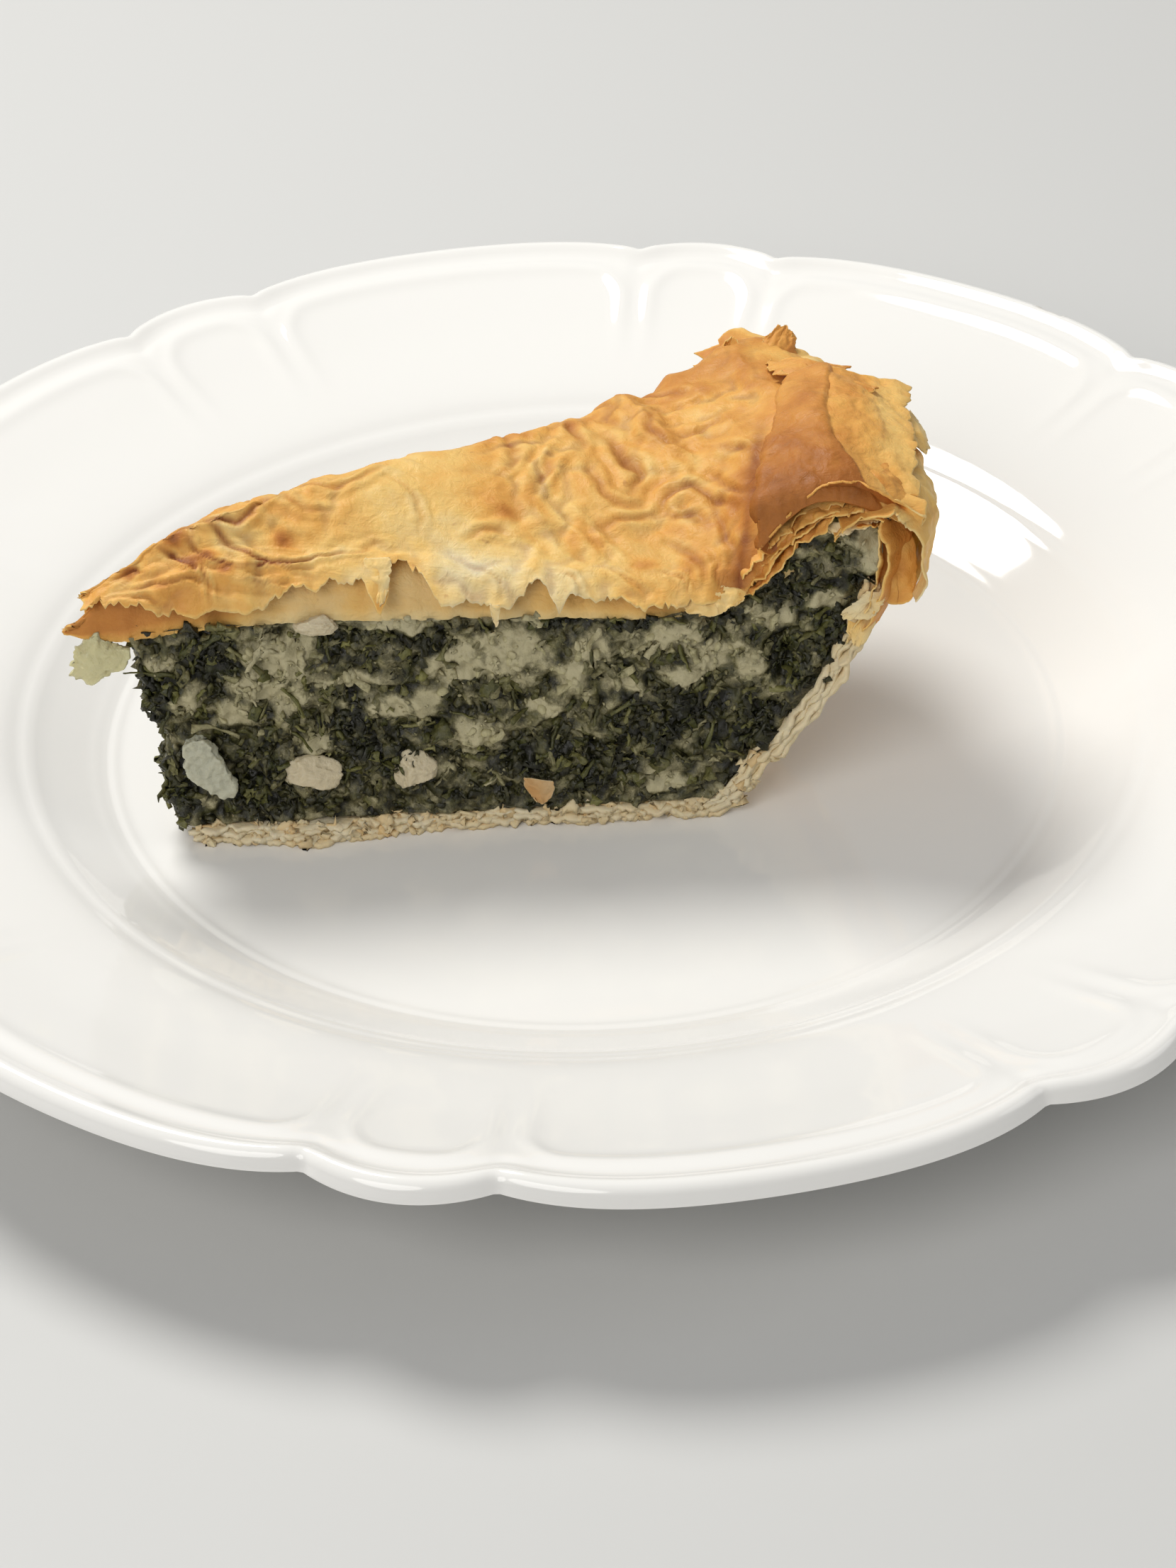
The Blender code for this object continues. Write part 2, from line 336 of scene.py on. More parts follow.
def plateProfile():
    p = plate
    under = p["floorZ"] - p["wall"]
    footOut, footIn = p["footRadius"] + p["footWidth"] / 2, p["footRadius"] - p["footWidth"] / 2
    spans = (  # radius, height, steps to the next point
        (0.0, p["floorZ"], 2),
        (40.0, p["floorZ"], 3),
        (p["floorRadius"] - 3.5, p["floorZ"], 4),
        (p["floorRadius"] - 1.5, p["floorZ"], 4),
        (p["floorRadius"] + 0.5, p["floorZ"] + 0.4, 5),
        (p["floorRadius"] + 6.5, p["floorZ"] + 3.2, 5),
        (p["wellRadius"], p["wellZ"], 6),
        (p["wellRadius"] + 6.0, p["wellZ"] + 2.7, 14),
        (p["radius"] - 22.0, p["height"] - 6.2, 19),
        (p["radius"] - 6.0, p["height"] - 1.0, 6),
        (p["radius"] - 1.8, p["height"], 4),
        (p["radius"], p["height"] - 1.4, 3),
        (p["radius"] - 1.4, p["height"] - 3.4, 5),
        (p["radius"] - 22.0, p["height"] - 6.2 - p["wall"], 3),
        (p["wellRadius"] + 6.0, p["wellZ"] + 2.7 - p["wall"], 2),
        (p["wellRadius"] - 2.0, p["wellZ"] - p["wall"] - 1.2, 2),
        (p["floorRadius"], under + 0.6, 2),
        (footOut + 1.0, under, 2),
        (footOut, 0.0, 1),
        (footIn, 0.0, 2),
        (footIn - 1.0, under, 1),
        (30.0, under, 1),
        (0.0, under, 0),
    )
    points = [s[:2] for s in spans]
    shown = []
    for i, (_, _, steps) in enumerate(spans[:-1]):
        for k in range(steps):
            share = (i + k / steps) / (len(points) - 1)
            rounded = curve(points, share)
            straight = Vector(points[i]).lerp(Vector(points[i + 1]), k / steps)
            shown.append(rounded if 4 <= i <= 12 else straight)
    shown.append(Vector(points[-1]))
    return shown


def lobeInset(angle):
    pair = 2 * math.pi / plate["lobePairs"]
    turned = (angle - plate["firstCusp"]) % pair
    if turned < plate["shortLobe"]:
        across, power = turned / plate["shortLobe"], 2.0
    else:
        across, power = (turned - plate["shortLobe"]) / (pair - plate["shortLobe"]), 4.0
    return plate["lobeDepth"] * abs(2 * across - 1) ** power


def bell(x, middle, width):
    return math.exp(-(((x - middle) / width) ** 2))


def plateRelief(radius, angle, inward):
    # moulded lines: rings round the well, a lip that follows the scallops and framed panels
    lift = sum(height * bell(radius, middle, width) for middle, width, height in plate["rings"])
    if inward > 45.0:
        return lift
    lift += sum(height * bell(inward, middle, width) for middle, width, height in plate["lip"])
    pair = 2 * math.pi / plate["lobePairs"]
    turned = (angle - plate["firstCusp"]) % pair
    nearest = min(turned, abs(turned - plate["shortLobe"]), pair - turned)
    aside = radius * nearest
    panel, cusp = plate["frame"], plate["cusp"]
    x, y, corner = inward - panel["inset"], aside - panel["gap"], panel["corner"]
    edge = min(x, y)
    if x < corner and y < corner:
        edge = corner - math.hypot(corner - x, corner - y)
    fade = 1.0 - smooth(*panel["fade"], inward)
    lift += panel["height"] * math.exp(-((edge / panel["width"]) ** 2)) * fade
    lift -= cusp["depth"] * bell(aside, 0.0, cusp["width"]) * (1.0 - smooth(*cusp["fade"], inward))
    return lift


def makePlate():
    bm = bmesh.new()
    profile = plateProfile()
    corners = [bm.verts.new((r * mm, 0.0, z * mm)) for r, z in profile]
    for a, b in zip(corners, corners[1:]):
        bm.edges.new((a, b))
    bmesh.ops.spin(
        bm, geom=bm.verts[:] + bm.edges[:], cent=(0, 0, 0), axis=(0, 0, 1), angle=2 * math.pi,
        steps=plate["steps"], use_merge=True, use_duplicate=False,
    )
    bmesh.ops.remove_doubles(bm, verts=bm.verts, dist=1e-6)
    bmesh.ops.recalc_face_normals(bm, faces=bm.faces)
    broken = bm.verts.layers.float.new("broken")
    wellRadius, full = plate["wellRadius"], plate["radius"]
    bm.normal_update()
    for vert in bm.verts:
        radius = math.hypot(vert.co.x, vert.co.y) / mm
        if radius < 60.0:
            continue
        angle = math.atan2(vert.co.y, vert.co.x)
        share = max(0.0, (radius - wellRadius) / (full - wellRadius))
        inset = lobeInset(angle)
        moved = radius - inset * share**3
        inward = full - inset - moved
        top = vert.normal.z > 0.25
        if top:
            vert.co.z += plateRelief(moved, angle, inward) * mm
        for middle, half, depth in plate["chips"]:
            aside = (angle - middle) * full / half
            if abs(aside) < 1.25 and inward < depth + 1.5:
                uneven = 0.85 + 0.5 * grain(aside * 9, vert.co.z / mm, 5.0, 3.0)
                bite = depth * max(0.0, 1.0 - aside**4) ** 0.5 * uneven
                moved = min(moved, full - inset - bite)
                vert[broken] = smooth(1.25, 0.9, abs(aside)) if inward < depth else 0.0
        vert.co.xy *= moved / radius
    return finishPiece("plateGlazed", bm, chinaMaterial(), ["plate"], sharp=55)


chinaLook = {
    "glaze": ((0.860, 0.850, 0.822), (0.885, 0.878, 0.855)),
    "brokenEdge": (0.62, 0.60, 0.56),
    "gloss": ((0.42, (0.055,)), (0.60, (0.085,)), (0.74, (0.17,))),
    "bump": 0.10,
}


def chinaMaterial():
    look = chinaLook
    material, tree, shader = newMaterial("glazedChina")
    where = addNode(tree, "TexCoord").outputs["Object"]
    broken = addNode(tree, "Attribute", attribute_name="broken").outputs["Fac"]
    tone = ramp(tree, mottled(tree, 18.0, 0.1), list(zip((0.0, 1.0), look["glaze"])))
    chipped = overlaid(tree, broken, tone, look["brokenEdge"])
    tree.links.new(chipped, shader.inputs["Base Color"])
    smear = noiseNode(tree, where, 34.0, 5.0, 0.62, 0.8).outputs["Fac"]
    gloss = ramp(tree, smear, look["gloss"])
    rough = maths(tree, "ADD", gloss, maths(tree, "MULTIPLY", broken, 0.6), clamp=True)
    tree.links.new(rough, shader.inputs["Roughness"])
    sag = noiseNode(tree, where, 60.0, 2.0, 0.5).outputs["Fac"]
    bump = addNode(tree, "Bump", {"Height": sag, "Strength": look["bump"], "Distance": 0.0012})
    tree.links.new(bump.outputs["Normal"], shader.inputs["Normal"])
    return material


# the wedge's outlines, by distance from the pie's centre and height over the plate's floor
pie = {
    "top": (
        (-3.0, 43.5), (10, 47), (36, 48), (62, 46.5), (88, 45), (97, 48), (104, 56.5),
        (113, 60.5), (122, 59.5), (128, 54), (130.5, 46), (129, 37),
    ),
    "backRise": (
        (0, 1.0), (6, 2.6), (13, 6.4), (22, 8.6), (35, 7.4), (47, 8.2), (59, 7.4), (70, 6.0), (79, 6.4),
        (88, 5.6), (94, 7.0), (100, 3.0), (105, 0.5), (128, 0.5),
    ),
    "fillingTop": (
        (7, 40), (17, 40.5), (36, 40.8), (62, 39.6), (88, 37.8), (95, 39.2), (101, 42.6), (105, 46.5),
        (109, 51), (113, 54.6), (117, 55.8), (121, 54.8),
    ),
    "fillingSide": ((94.0, 3.6), (104.5, 15.0), (113.5, 27.5), (118.5, 41.0), (121.0, 54.5)),
    "fillingTip": (
        (10.3, 1.3), (8.6, 6.0), (7.9, 12.5), (9.7, 19.0), (6.2, 27.5), (5.6, 34.0), (7.0, 40.0),
    ),
    "wallSide": ((96.6, 0.3), (107.0, 13.0), (116.0, 26.2), (121.8, 40.5), (123.6, 50.0)),
    "baseThickness": 3.2,
}


def acrossDirection(share):
    angle = wedge["frontCut"] + share * opening
    return Vector((-math.sin(angle), math.cos(angle), 0.0))


def byHeight(outline, h):
    return read([(height, distance) for distance, height in outline], h)


def rimLevel(radius, share, h):
    return h * (1.0 - wedge["rimDrop"] * share * smooth(85.0, 110.0, radius))


def topHeight(radius, share):
    puff = 2.5 * math.sin(math.pi * min(max(share, 0.0), 1.0))
    rise = read(pie["backRise"], radius) * smooth(0.0, 1.0, share)
    return rimLevel(radius, share, read(pie["top"], radius) + (puff + rise) * (1.0 - smooth(96, 108, radius)))


def arcWidth(radius):
    return max(radius, 0.0) * opening + tipGap(radius)


def makeSheet(cuts, shape, relief=None):
    # a fine grid moved onto shape(u, v), which gives a place, how far to lift it off the sheet, how
    # toasted it is, how much painted shade and browning darken it, and for relief(d, t) the sheet's own d and
    # t there
    bm = bmesh.new()
    bmesh.ops.create_grid(bm, x_segments=cuts[0], y_segments=cuts[1], size=0.5)
    toast = bm.verts.layers.float.new("toast")
    # how much the colour is darkened: painted shade in folds, hollows and under other layers, and real
    # browning
    shadeAndBrowning = bm.verts.layers.float.new("shadeAndBrowning")
    made = [shape(vert.co.x + 0.5, vert.co.y + 0.5) for vert in bm.verts]
    for vert, found in zip(bm.verts, made):
        vert.co = found[0]
    raised = np.array([found[1:4] for found in made])
    if relief:
        flat = np.array([found[4] for found in made])
        strength = np.array([found[5] for found in made])
        drawn = relief(flat[:, 0], flat[:, 1])
        drawn[:, 0] *= strength
        raised += drawn
    bm.normal_update()
    normals = [vert.normal.copy() for vert in bm.verts]
    for vert, (lift, toasted, shadeAndBrownTone), normal in zip(bm.verts, raised, normals):
        vert.co += normal * lift * mm
        vert[toast], vert[shadeAndBrowning] = toasted, shadeAndBrownTone
        if vert.is_boundary:  # a torn edge is thin and stays pale
            vert[toast], vert[shadeAndBrowning] = 0.6 * toasted, 0.3 * shadeAndBrownTone
    return bm


# the crust's wrinkles
# each fold: height at its middle (below zero for a crease), spacing to its neighbours, then d and t along it
lidFolds = (
    (-1.0, 4.6, (72.5, 43.5), (74.5, 38.0), (75.5, 33.0), (75.0, 28.5)),
    (-0.9, 4.4, (87.5, 39.5), (87.0, 32.5), (89.0, 27.5)),
    (-1.3, 4.8, (79.5, 35.0), (82.0, 29.0), (84.5, 23.5), (83.0, 18.5)),
    (-0.8, 4.4, (77.5, 26.5), (78.0, 20.5), (81.0, 16.5), (84.5, 15.5)),
    (-1.3, 4.6, (87.5, 14.5), (88.5, 17.0), (91.5, 18.0), (95.0, 14.5), (98.5, 9.5)),
    (-1.0, 3.8, (87.5, 14.5), (89.5, 12.5), (92.0, 12.0), (94.0, 8.5)),
    (-0.8, 4.4, (77.0, 11.0), (80.5, 12.5), (84.5, 13.0), (87.5, 14.5)),
    (0.9, 5.0, (72.5, 17.0), (76.5, 11.0), (78.5, 8.5), (81.5, 4.5)),
    (-0.8, 3.4, (88.0, 8.5), (90.0, 5.0), (92.5, 1.0), (93.5, -3.0)),
    (-0.8, 3.6, (94.5, 11.5), (96.5, 5.5), (98.5, -3.0)),
    (0.9, 5.2, (65.0, 19.0), (68.5, 10.0), (71.0, 7.0), (74.0, 3.0)),
    (-0.6, 4.0, (66.5, 16.5), (67.0, 13.0), (69.0, 9.5)),
    (-0.8, 4.6, (71.0, 27.0), (69.5, 21.5), (68.0, 17.5)),
    (-0.8, 4.0, (84.5, 48.5), (88.0, 46.5), (91.0, 45.0), (94.0, 43.5)),
    (0.8, 4.2, (86.0, 42.5), (90.5, 42.0), (95.5, 42.5)),
    (-0.9, 4.2, (90.5, 33.0), (94.0, 31.5), (98.5, 32.5)),
    (-0.9, 4.0, (96.0, 25.0), (100.0, 23.5), (102.5, 20.5)),
    (-0.8, 3.6, (95.0, 20.5), (98.0, 15.5), (100.0, 12.0)),
    (0.8, 4.4, (88.0, 27.5), (92.0, 26.0), (95.0, 21.5)),
    (0.8, 5.0, (66.5, 22.0), (71.5, 30.0), (74.0, 40.0)),
    (-0.7, 4.6, (60.0, 40.0), (64.5, 33.0), (65.0, 26.0), (62.0, 20.0)),
    (-0.6, 4.2, (82.0, 43.5), (80.5, 38.0), (84.0, 34.0)),
    (-0.7, 4.4, (76.0, 49.0), (80.0, 45.5), (83.0, 40.0)),
    (-0.7, 4.0, (57.0, 8.0), (60.5, 10.5), (64.5, 9.0)),
    (-1.1, 2.7, (17.0, 9.0), (22.0, 4.5), (26.0, 1.5), (31.0, 1.6), (37.0, 2.8), (43.5, 5.5)),
    (-1.0, 2.3, (14.0, 6.5), (18.0, 2.5), (22.5, -0.4), (27.0, 0.6), (33.5, -0.5)),
    (-0.9, 2.5, (12.5, 10.5), (17.0, 8.0), (21.0, 7.6), (25.0, 9.5), (28.0, 13.5)),
    (-1.2, 2.4, (11.5, 5.0), (14.5, 1.5), (16.5, -1.0), (15.0, 2.5)),
    (1.1, 4.4, (17.0, -1.5), (22.0, -2.2), (28.5, -4.0)),
    (0.8, 5.5, (13.0, 13.0), (20.0, 12.5), (27.0, 9.0), (34.0, 8.0)),
    (-0.5, 3.0, (45.0, 18.0), (49.5, 14.5), (51.0, 10.5), (50.0, 8.0)),
    (-0.7, 2.6, (3.0, 1.0), (7.0, 2.5), (8.5, 0.0)),
    (-0.9, 2.4, (5.0, -1.5), (10.0, -2.6), (15.0, -2.2), (21.0, -4.4)),
    (-0.8, 2.2, (2.0, -3.6), (8.0, -4.2), (12.0, -5.4)),
    (-1.0, 2.0, (17.0, 0.5), (18.2, -2.5), (18.6, -5.5)),
    (-0.8, 2.4, (22.0, -2.0), (26.0, -3.4), (31.0, -3.2)),
    (-0.6, 2.8, (58.0, 1.0), (61.0, -2.0), (61.5, -6.0)),
    (-0.8, 2.8, (70.0, 1.0), (73.0, -2.0), (74.0, -6.0)),
    (-0.8, 2.6, (79.0, 2.0), (81.0, -1.5), (84.0, -5.0)),
    (-0.9, 2.6, (86.0, 1.0), (89.0, -2.0), (90.0, -5.5)),
    (-0.7, 2.4, (96.0, 1.0), (95.0, -2.5), (97.0, -5.0)),
    (-0.8, 2.6, (9.0, 9.0), (13.0, 9.0), (16.0, 5.5)),
    (-0.7, 3.4, (28.0, 19.0), (34.0, 15.5), (41.0, 17.0), (46.0, 22.0)),
    (-0.5, 3.4, (27.0, 16.0), (32.0, 11.5), (38.0, 10.5)),
    (0.7, 5.0, (36.0, 24.0), (44.0, 24.5), (52.0, 20.0)),
    (-0.5, 3.2, (19.0, 12.0), (23.0, 12.5), (26.0, 15.5)),
)
wrinkles = {
    "calm": (34.0, 42.0, 55.0, 64.0),  # the stretch of d where the sheet lies smooth
    "narrow": 0.8,  # how much narrower each fold comes out
    "pressed": 0.175,
    "tighter": 1.45,  # how much smaller the folds are than the crumpled sheet's
    "burnt": (  # small dark blotches: d, t, radius
        (16.0, 1.6, 1.9), (20.6, -0.6, 1.2), (29.6, 6.2, 1.6), (13.4, 5.4, 1.3), (63.5, 13.0, 1.6),
        (91.0, 2.0, 2.8), (75.0, 38.0, 2.4), (18.4, 2.6, 1.2), (6.0, 2.0, 1.2), (84.0, 3.0, 2.2),
    ),
}


def noiseField(x, y, size, seed, octaves=2):
    spots = (Vector((a / size, b / size, seed)) for a, b in zip(x, y))
    return np.array([noise.fractal(spot, 0.8, 2.0, octaves) for spot in spots])


def foldField(folds, x, y):
    # height and darkness that the drawn folds give at every point (x, y); the darkness in their valleys is
    # painted shade and browning
    height, dark = np.zeros(len(x)), np.zeros(len(x))
    for size, spacing, *points in folds:
        spacing *= wrinkles["narrow"]
        line = [curve(points, k / 9) for k in range(10)]
        nearest = np.full(len(x), 1e9)
        side = np.zeros(len(x))
        along = np.zeros(len(x))
        for i, (a, b) in enumerate(zip(line, line[1:])):
            run = b - a
            dx, dy = x - a.x, y - a.y
            share = np.clip((dx * run.x + dy * run.y) / run.length_squared, 0.0, 1.0)
            away = np.hypot(dx - share * run.x, dy - share * run.y)
            closer = away < nearest
            nearest = np.where(closer, away, nearest)
            side = np.where(closer, np.sign(run.x * dy - run.y * dx), side)
            along = np.where(closer, (i + share) / 9, along)
        taper = np.sin(np.pi * np.clip(along, 0.04, 0.96)) ** 0.6
        fade = taper * np.exp(-((nearest / (0.95 * spacing)) ** 2))
        wave = np.cos(2 * np.pi * side * nearest / spacing + 0.5 * side)
        height += size * fade * wave
        valley = np.exp(-((nearest / (0.22 * spacing)) ** 2)) if size < 0 else 0.0
        dark = np.maximum(dark, -size * taper * valley * 0.62)
    return height, dark


crumple = {
    "size": (150.0, 92.0),  # mm of sheet along d and t
    "from": (-10.0, -16.0),
    "grid": (200, 124),
    "gap": 3.0,  # mm between the plates that hold it
    "shrink": -0.14,
    "bend": 9.0,
    "frames": 24,
    "seed": 0.55,  # how strongly the drawn folds start it off
}


def pressPlate(name, height, faceDown):
    bm = bmesh.new()
    bmesh.ops.create_grid(bm, x_segments=1, y_segments=1, size=20.0)
    bmesh.ops.translate(bm, verts=bm.verts, vec=(0.0, 0.0, height))
    if faceDown:
        bmesh.ops.reverse_faces(bm, faces=bm.faces)
    mesh = bpy.data.meshes.new(name)
    bm.to_mesh(mesh)
    bm.free()
    press = bpy.data.objects.new(name, mesh)
    scene.collection.objects.link(press)
    press.modifiers.new("Press", "COLLISION")
    press.collision.thickness_outer = 0.005
    press.collision.thickness_inner = 0.1
    press.collision.cloth_friction = 12
    return press


def crumpledSheet():
    # a sheet that grows while two plates hold it, in units of 10 mm: its height field, mean 0 and spread 1
    c = crumple
    bm = bmesh.new()
    bmesh.ops.create_grid(bm, x_segments=c["grid"][0], y_segments=c["grid"][1], size=0.5)
    spots = np.array([(v.co.x + 0.5, v.co.y + 0.5) for v in bm.verts]) * c["size"]
    d, t = (spots + c["from"]).T
    drawn = foldField(lidFolds, d, t)[0]
    start = 0.5 + 0.16 * noiseField(d, t, 6.0, 18.0, 3) + c["seed"] * 0.25 * np.clip(drawn, -1.3, 1.3)
    for vert, (x, y), z in zip(bm.verts, spots, np.clip(start, 0.1, 0.9)):
        vert.co = (x / 10.0, y / 10.0, z * c["gap"] / 10.0)
    mesh = bpy.data.meshes.new("crumpling")
    bm.to_mesh(mesh)
    bm.free()
    sheet = bpy.data.objects.new("crumpling", mesh)
    scene.collection.objects.link(sheet)
    wide, deep = c["size"]
    rim = [i for i, (x, y) in enumerate(spots) if min(x, wide - x, y, deep - y) < 0.01]
    sheet.vertex_groups.new(name="rim").add(rim, 1.0, "ADD")
    cloth = sheet.modifiers.new("Cloth", "CLOTH")
    made = cloth.settings
    made.quality, made.mass, made.air_damping = 6, 0.15, 4
    made.tension_stiffness = made.compression_stiffness = 40
    made.shear_stiffness = 20
    made.bending_stiffness = c["bend"]
    made.tension_damping = made.compression_damping = made.shear_damping = 10
    made.vertex_group_mass = "rim"
    made.shrink_min = c["shrink"]
    made.effector_weights.gravity = 0.6
    cloth.collision_settings.distance_min = 0.01
    cloth.point_cache.frame_end = c["frames"]
    plates = [pressPlate("plateBelow", 0.0, False), pressPlate("plateAbove", c["gap"] / 10.0, True)]
    for step in range(1, c["frames"] + 1):
        scene.frame_set(step)
    shaped = sheet.evaluated_get(bpy.context.evaluated_depsgraph_get()).to_mesh()
    heights = np.zeros(len(shaped.vertices) * 3)
    shaped.vertices.foreach_get("co", heights)
    for thing in (sheet, *plates):
        bpy.data.objects.remove(thing, do_unlink=True)
    scene.frame_set(1)
    order = np.lexsort((np.round(spots[:, 0], 3), np.round(spots[:, 1], 3)))
    field = heights[2::3][order].reshape(c["grid"][1] + 1, c["grid"][0] + 1)
    return (field - field.mean()) / field.std()


def fieldAt(field, d, t):
    # the field between its grid points
    rows, columns = field.shape
    x = np.clip((d - crumple["from"][0]) / crumple["size"][0], 0.0, 0.9999) * (columns - 1)
    y = np.clip((t - crumple["from"][1]) / crumple["size"][1], 0.0, 0.9999) * (rows - 1)
    i, j = x.astype(int), y.astype(int)
    x, y = x - i, y - j
    near = field[j, i] * (1 - x) + field[j, i + 1] * x
    far = field[j + 1, i] * (1 - x) + field[j + 1, i + 1] * x
    return near * (1 - y) + far * y


def blurred(field, times):
    for _ in range(times):
        padded = np.pad(field, 1, mode="edge")
        field = (padded[:-2, 1:-1] + padded[2:, 1:-1] + padded[1:-1, :-2] + padded[1:-1, 2:] + field) / 5
    return field


def mirrored(spots, axis):
    # spots brought back onto the crumpled sheet, as if it were mirrored at its edges
    length = crumple["size"][axis]
    return crumple["from"][axis] + length * np.abs((spots / length) % 2.0 - 1.0)


def lidRelief(d, t):
    # height, toast, and the darkening of painted shade and browning of the top sheet at d along and t back
    w = wrinkles
    where = [mirrored(w["tighter"] * (spots - crumple["from"][i]), i) for i, spots in enumerate((d, t))]
    finer = [mirrored(2.3 * d + 70.0, 0), mirrored(2.3 * t + 46.0, 1)]
    pressed = fieldAt(softField, *where)
    bent = fieldAt(bendField, *where)
    warpD = noiseField(d, t, 7.0, 11.0)
    warpT = noiseField(d, t, 7.0, 12.0)
    fineD = noiseField(d, t, 2.6, 13.0)
    x = d + 1.3 * warpD + 0.35 * fineD
    y = t + 1.3 * warpT - 0.35 * fineD
    drawn, dark = foldField(lidFolds, x, y)
    patch = noiseField(d, t, 9.0, 15.0)
    lines = 1.0 - np.minimum(1.0, np.abs(noiseField(x, y * 0.8, 5.2, 16.0)) * 6.0)
    fine = noiseField(x, y, 1.9, 17.0)
    low, high, end, last = w["calm"]
    calm = np.array([smooth(low, high, a) * (1.0 - smooth(end, last, a)) for a in d])
    calm *= np.clip((t - 2.0) / 6.0, 0.25, 1.0)
    busy = (1.0 - 0.75 * calm) * np.clip(0.8 + 1.2 * noiseField(d, t, 15.0, 19.0), 0.3, 1.4)
    small = fieldAt(softField, *finer)
    height = 0.40 * drawn + (w["pressed"] * pressed + 0.07 * small + 0.05 * lines + 0.07 * fine) * busy
    blotch = noiseField(d, t, 13.0, 40.0, 4)
    near = np.array([1.0 - smooth(22.0, 40.0, a) for a in d])
    # the drawn folds' ridges come out paler and their valleys browner: partly painted highlight and shade,
    # partly browning
    toast = 0.43 + 0.16 * blotch - 0.05 * np.clip(drawn, -1.0, 1.2) + 0.035 * np.clip(bent, -1.5, 2.0) * busy
    toast += 0.06 * patch - 0.01 * near - 0.11 * calm
    # browner band along the flap's foot: painted shadow under the flap's overhanging edge, with real browning
    toast += 0.20 * np.exp(-(((d - 98.5 - 0.22 * t) / 3.2) ** 2)) * np.clip((26.0 - t) / 10.0, 0.0, 1.0)
    for middle, aside, reach in w["burnt"]:
        away = np.hypot(d - middle + warpD, t - aside + warpT) / reach
        toast += (0.26 + 0.2 * near) * np.exp(-(away**2))
    # dark line in the crease at the flap's foot: painted shade
    flapFootShade = np.exp(-(((d - 98.8 - 0.20 * t + 0.6 * warpD) / 1.1) ** 2)) * np.clip((30.0 - t) / 8.0, 0.0, 1.0)
    shadeAndBrowning = dark * (0.9 + 0.9 * near) * np.clip((t + 5.0) / 6.0, 0.4, 1.0) + 0.75 * flapFootShade
    # darker in the crumpled sheet's hollows: painted shade, with some browning
    shadeAndBrowning += 0.34 * np.clip(-bent - 0.4, 0.0, 2.0) * busy
    shadeAndBrowning += 0.12 * np.clip(lines - 0.55, 0.0, 1.0) * busy * (0.6 + near)
    return np.stack([height, toast, shadeAndBrowning], axis=1)


# the lid's top sheet, torn along both cuts
topSheet = {
    "cuts": (290, 150),
    "reach": (-1.2, 125.0),
    "thickness": 0.25,
    "shoulder": 5.0,
    "bend": 1.75,  # how late the edge turns down
    "backDrop": 5.5,  # how far it hangs down the hidden cut
    "hang": (  # d, how far the sheet stands out from the front cut at its lowest, and that height
        (-1.2, 1.4, 46.6), (8.7, 3.2, 45.0), (20.0, 3.8, 43.4), (45.0, 3.8, 43.0), (70.0, 3.9, 42.6),
        (88.0, 3.6, 42.2), (96.0, 2.6, 42.2), (101.4, 1.6, 43.0), (104.0, 0.5, 49.4), (108.0, 0.0, 55.6),
        (118.0, 0.0, 57.6), (125.0, 0.0, 55.0),
    ),
    "torn": (  # d and height of the torn edge
        (-1.2, 47.4), (2.0, 47.1), (8.7, 46.0), (14.6, 45.4), (20.4, 45.4), (25.5, 45.8), (28.0, 46.6),
        (31.0, 47.4), (33.5, 47.4), (38.0, 48.1), (41.4, 47.8), (42.4, 45.2), (43.6, 43.6), (44.8, 46.0),
        (45.6, 49.0), (47.5, 49.3), (50.2, 48.3), (51.2, 47.0), (52.6, 44.8), (56.0, 44.4), (60.0, 44.4),
        (63.0, 44.4), (65.4, 44.8), (67.2, 46.8), (68.8, 46.4), (70.6, 43.2), (72.2, 45.4), (76.0, 43.8),
        (79.0, 44.2), (83.6, 43.0), (88.0, 43.0), (91.5, 42.2), (94.6, 43.2), (98.0, 43.6), (101.4, 43.8),
        (104.0, 50.0), (108.0, 56.0), (118.0, 58.0), (125.0, 55.5),
    ),
}


drooped = 0.13  # share of the lid's grid that hangs down each cut


def lidPoint(radius, v, front, back, lift, shoulder, bend, torn=None):
    # across the lid: up the front cut's edge, over the top and down the back cut's edge. Torn is the
    # height where the front edge ends on its way down
    width = arcWidth(radius)
    rise = min(shoulder, 0.38 * width)
    out, ends = front, 0
    if v > 1.0 - drooped:
        out, ends = back, 1
    if drooped <= v <= 1.0 - drooped:
        y = mix(rise, width - rise, (v - drooped) / (1.0 - 2 * drooped))
        share = y / width
        return polar(radius, share, topHeight(radius, share) + lift), y
    share = 0.0 if ends == 0 else 1.0
    edge = (drooped - v) / drooped if ends == 0 else (v - 1.0 + drooped) / drooped
    near = rise / width
    top = topHeight(radius, near if ends == 0 else 1.0 - near) + lift
    fall = max(0.3, top - out[1])
    if torn and ends == 0:
        edge *= min(1.25, (max(0.3, top - torn) / fall) ** (1.0 / bend))
    fall *= edge**bend
    y = rise - (rise + out[0]) * edge**0.92
    aside = acrossDirection(share) * (y if ends == 0 else -y) * mm
    return polar(radius, share, top - fall) + aside, (y if ends == 0 else width - y)


def raggedness(d, seed):
    jagged = 1.2 * shards(d, 4.2, seed) + 1.0 * shards(d, 2.0, seed + 0.5) + 0.8 * shards(d, 0.9, seed + 0.7)
    return jagged + 0.8 * grain(d, 9.0, 4.0, seed) - 0.8


def tornAt(outline, d, seed, teeth=1.0):
    out, h = read(outline, d)
    return out + 0.5 * grain(d, 2.0, 3.0, seed), h + teeth * raggedness(d, seed)


def backTorn(radius, seed, drop):
    # the hidden cut's edge is torn like the one in view
    top = topHeight(radius, 0.9)
    fall = drop * (0.75 + 0.55 * grain(radius, 0.0, 6.0, seed)) + 0.5 * grain(radius, 3.0, 1.6, seed)
    return 1.1 + 0.9 * grain(radius, 7.0, 5.0, seed), top - max(0.8, fall)


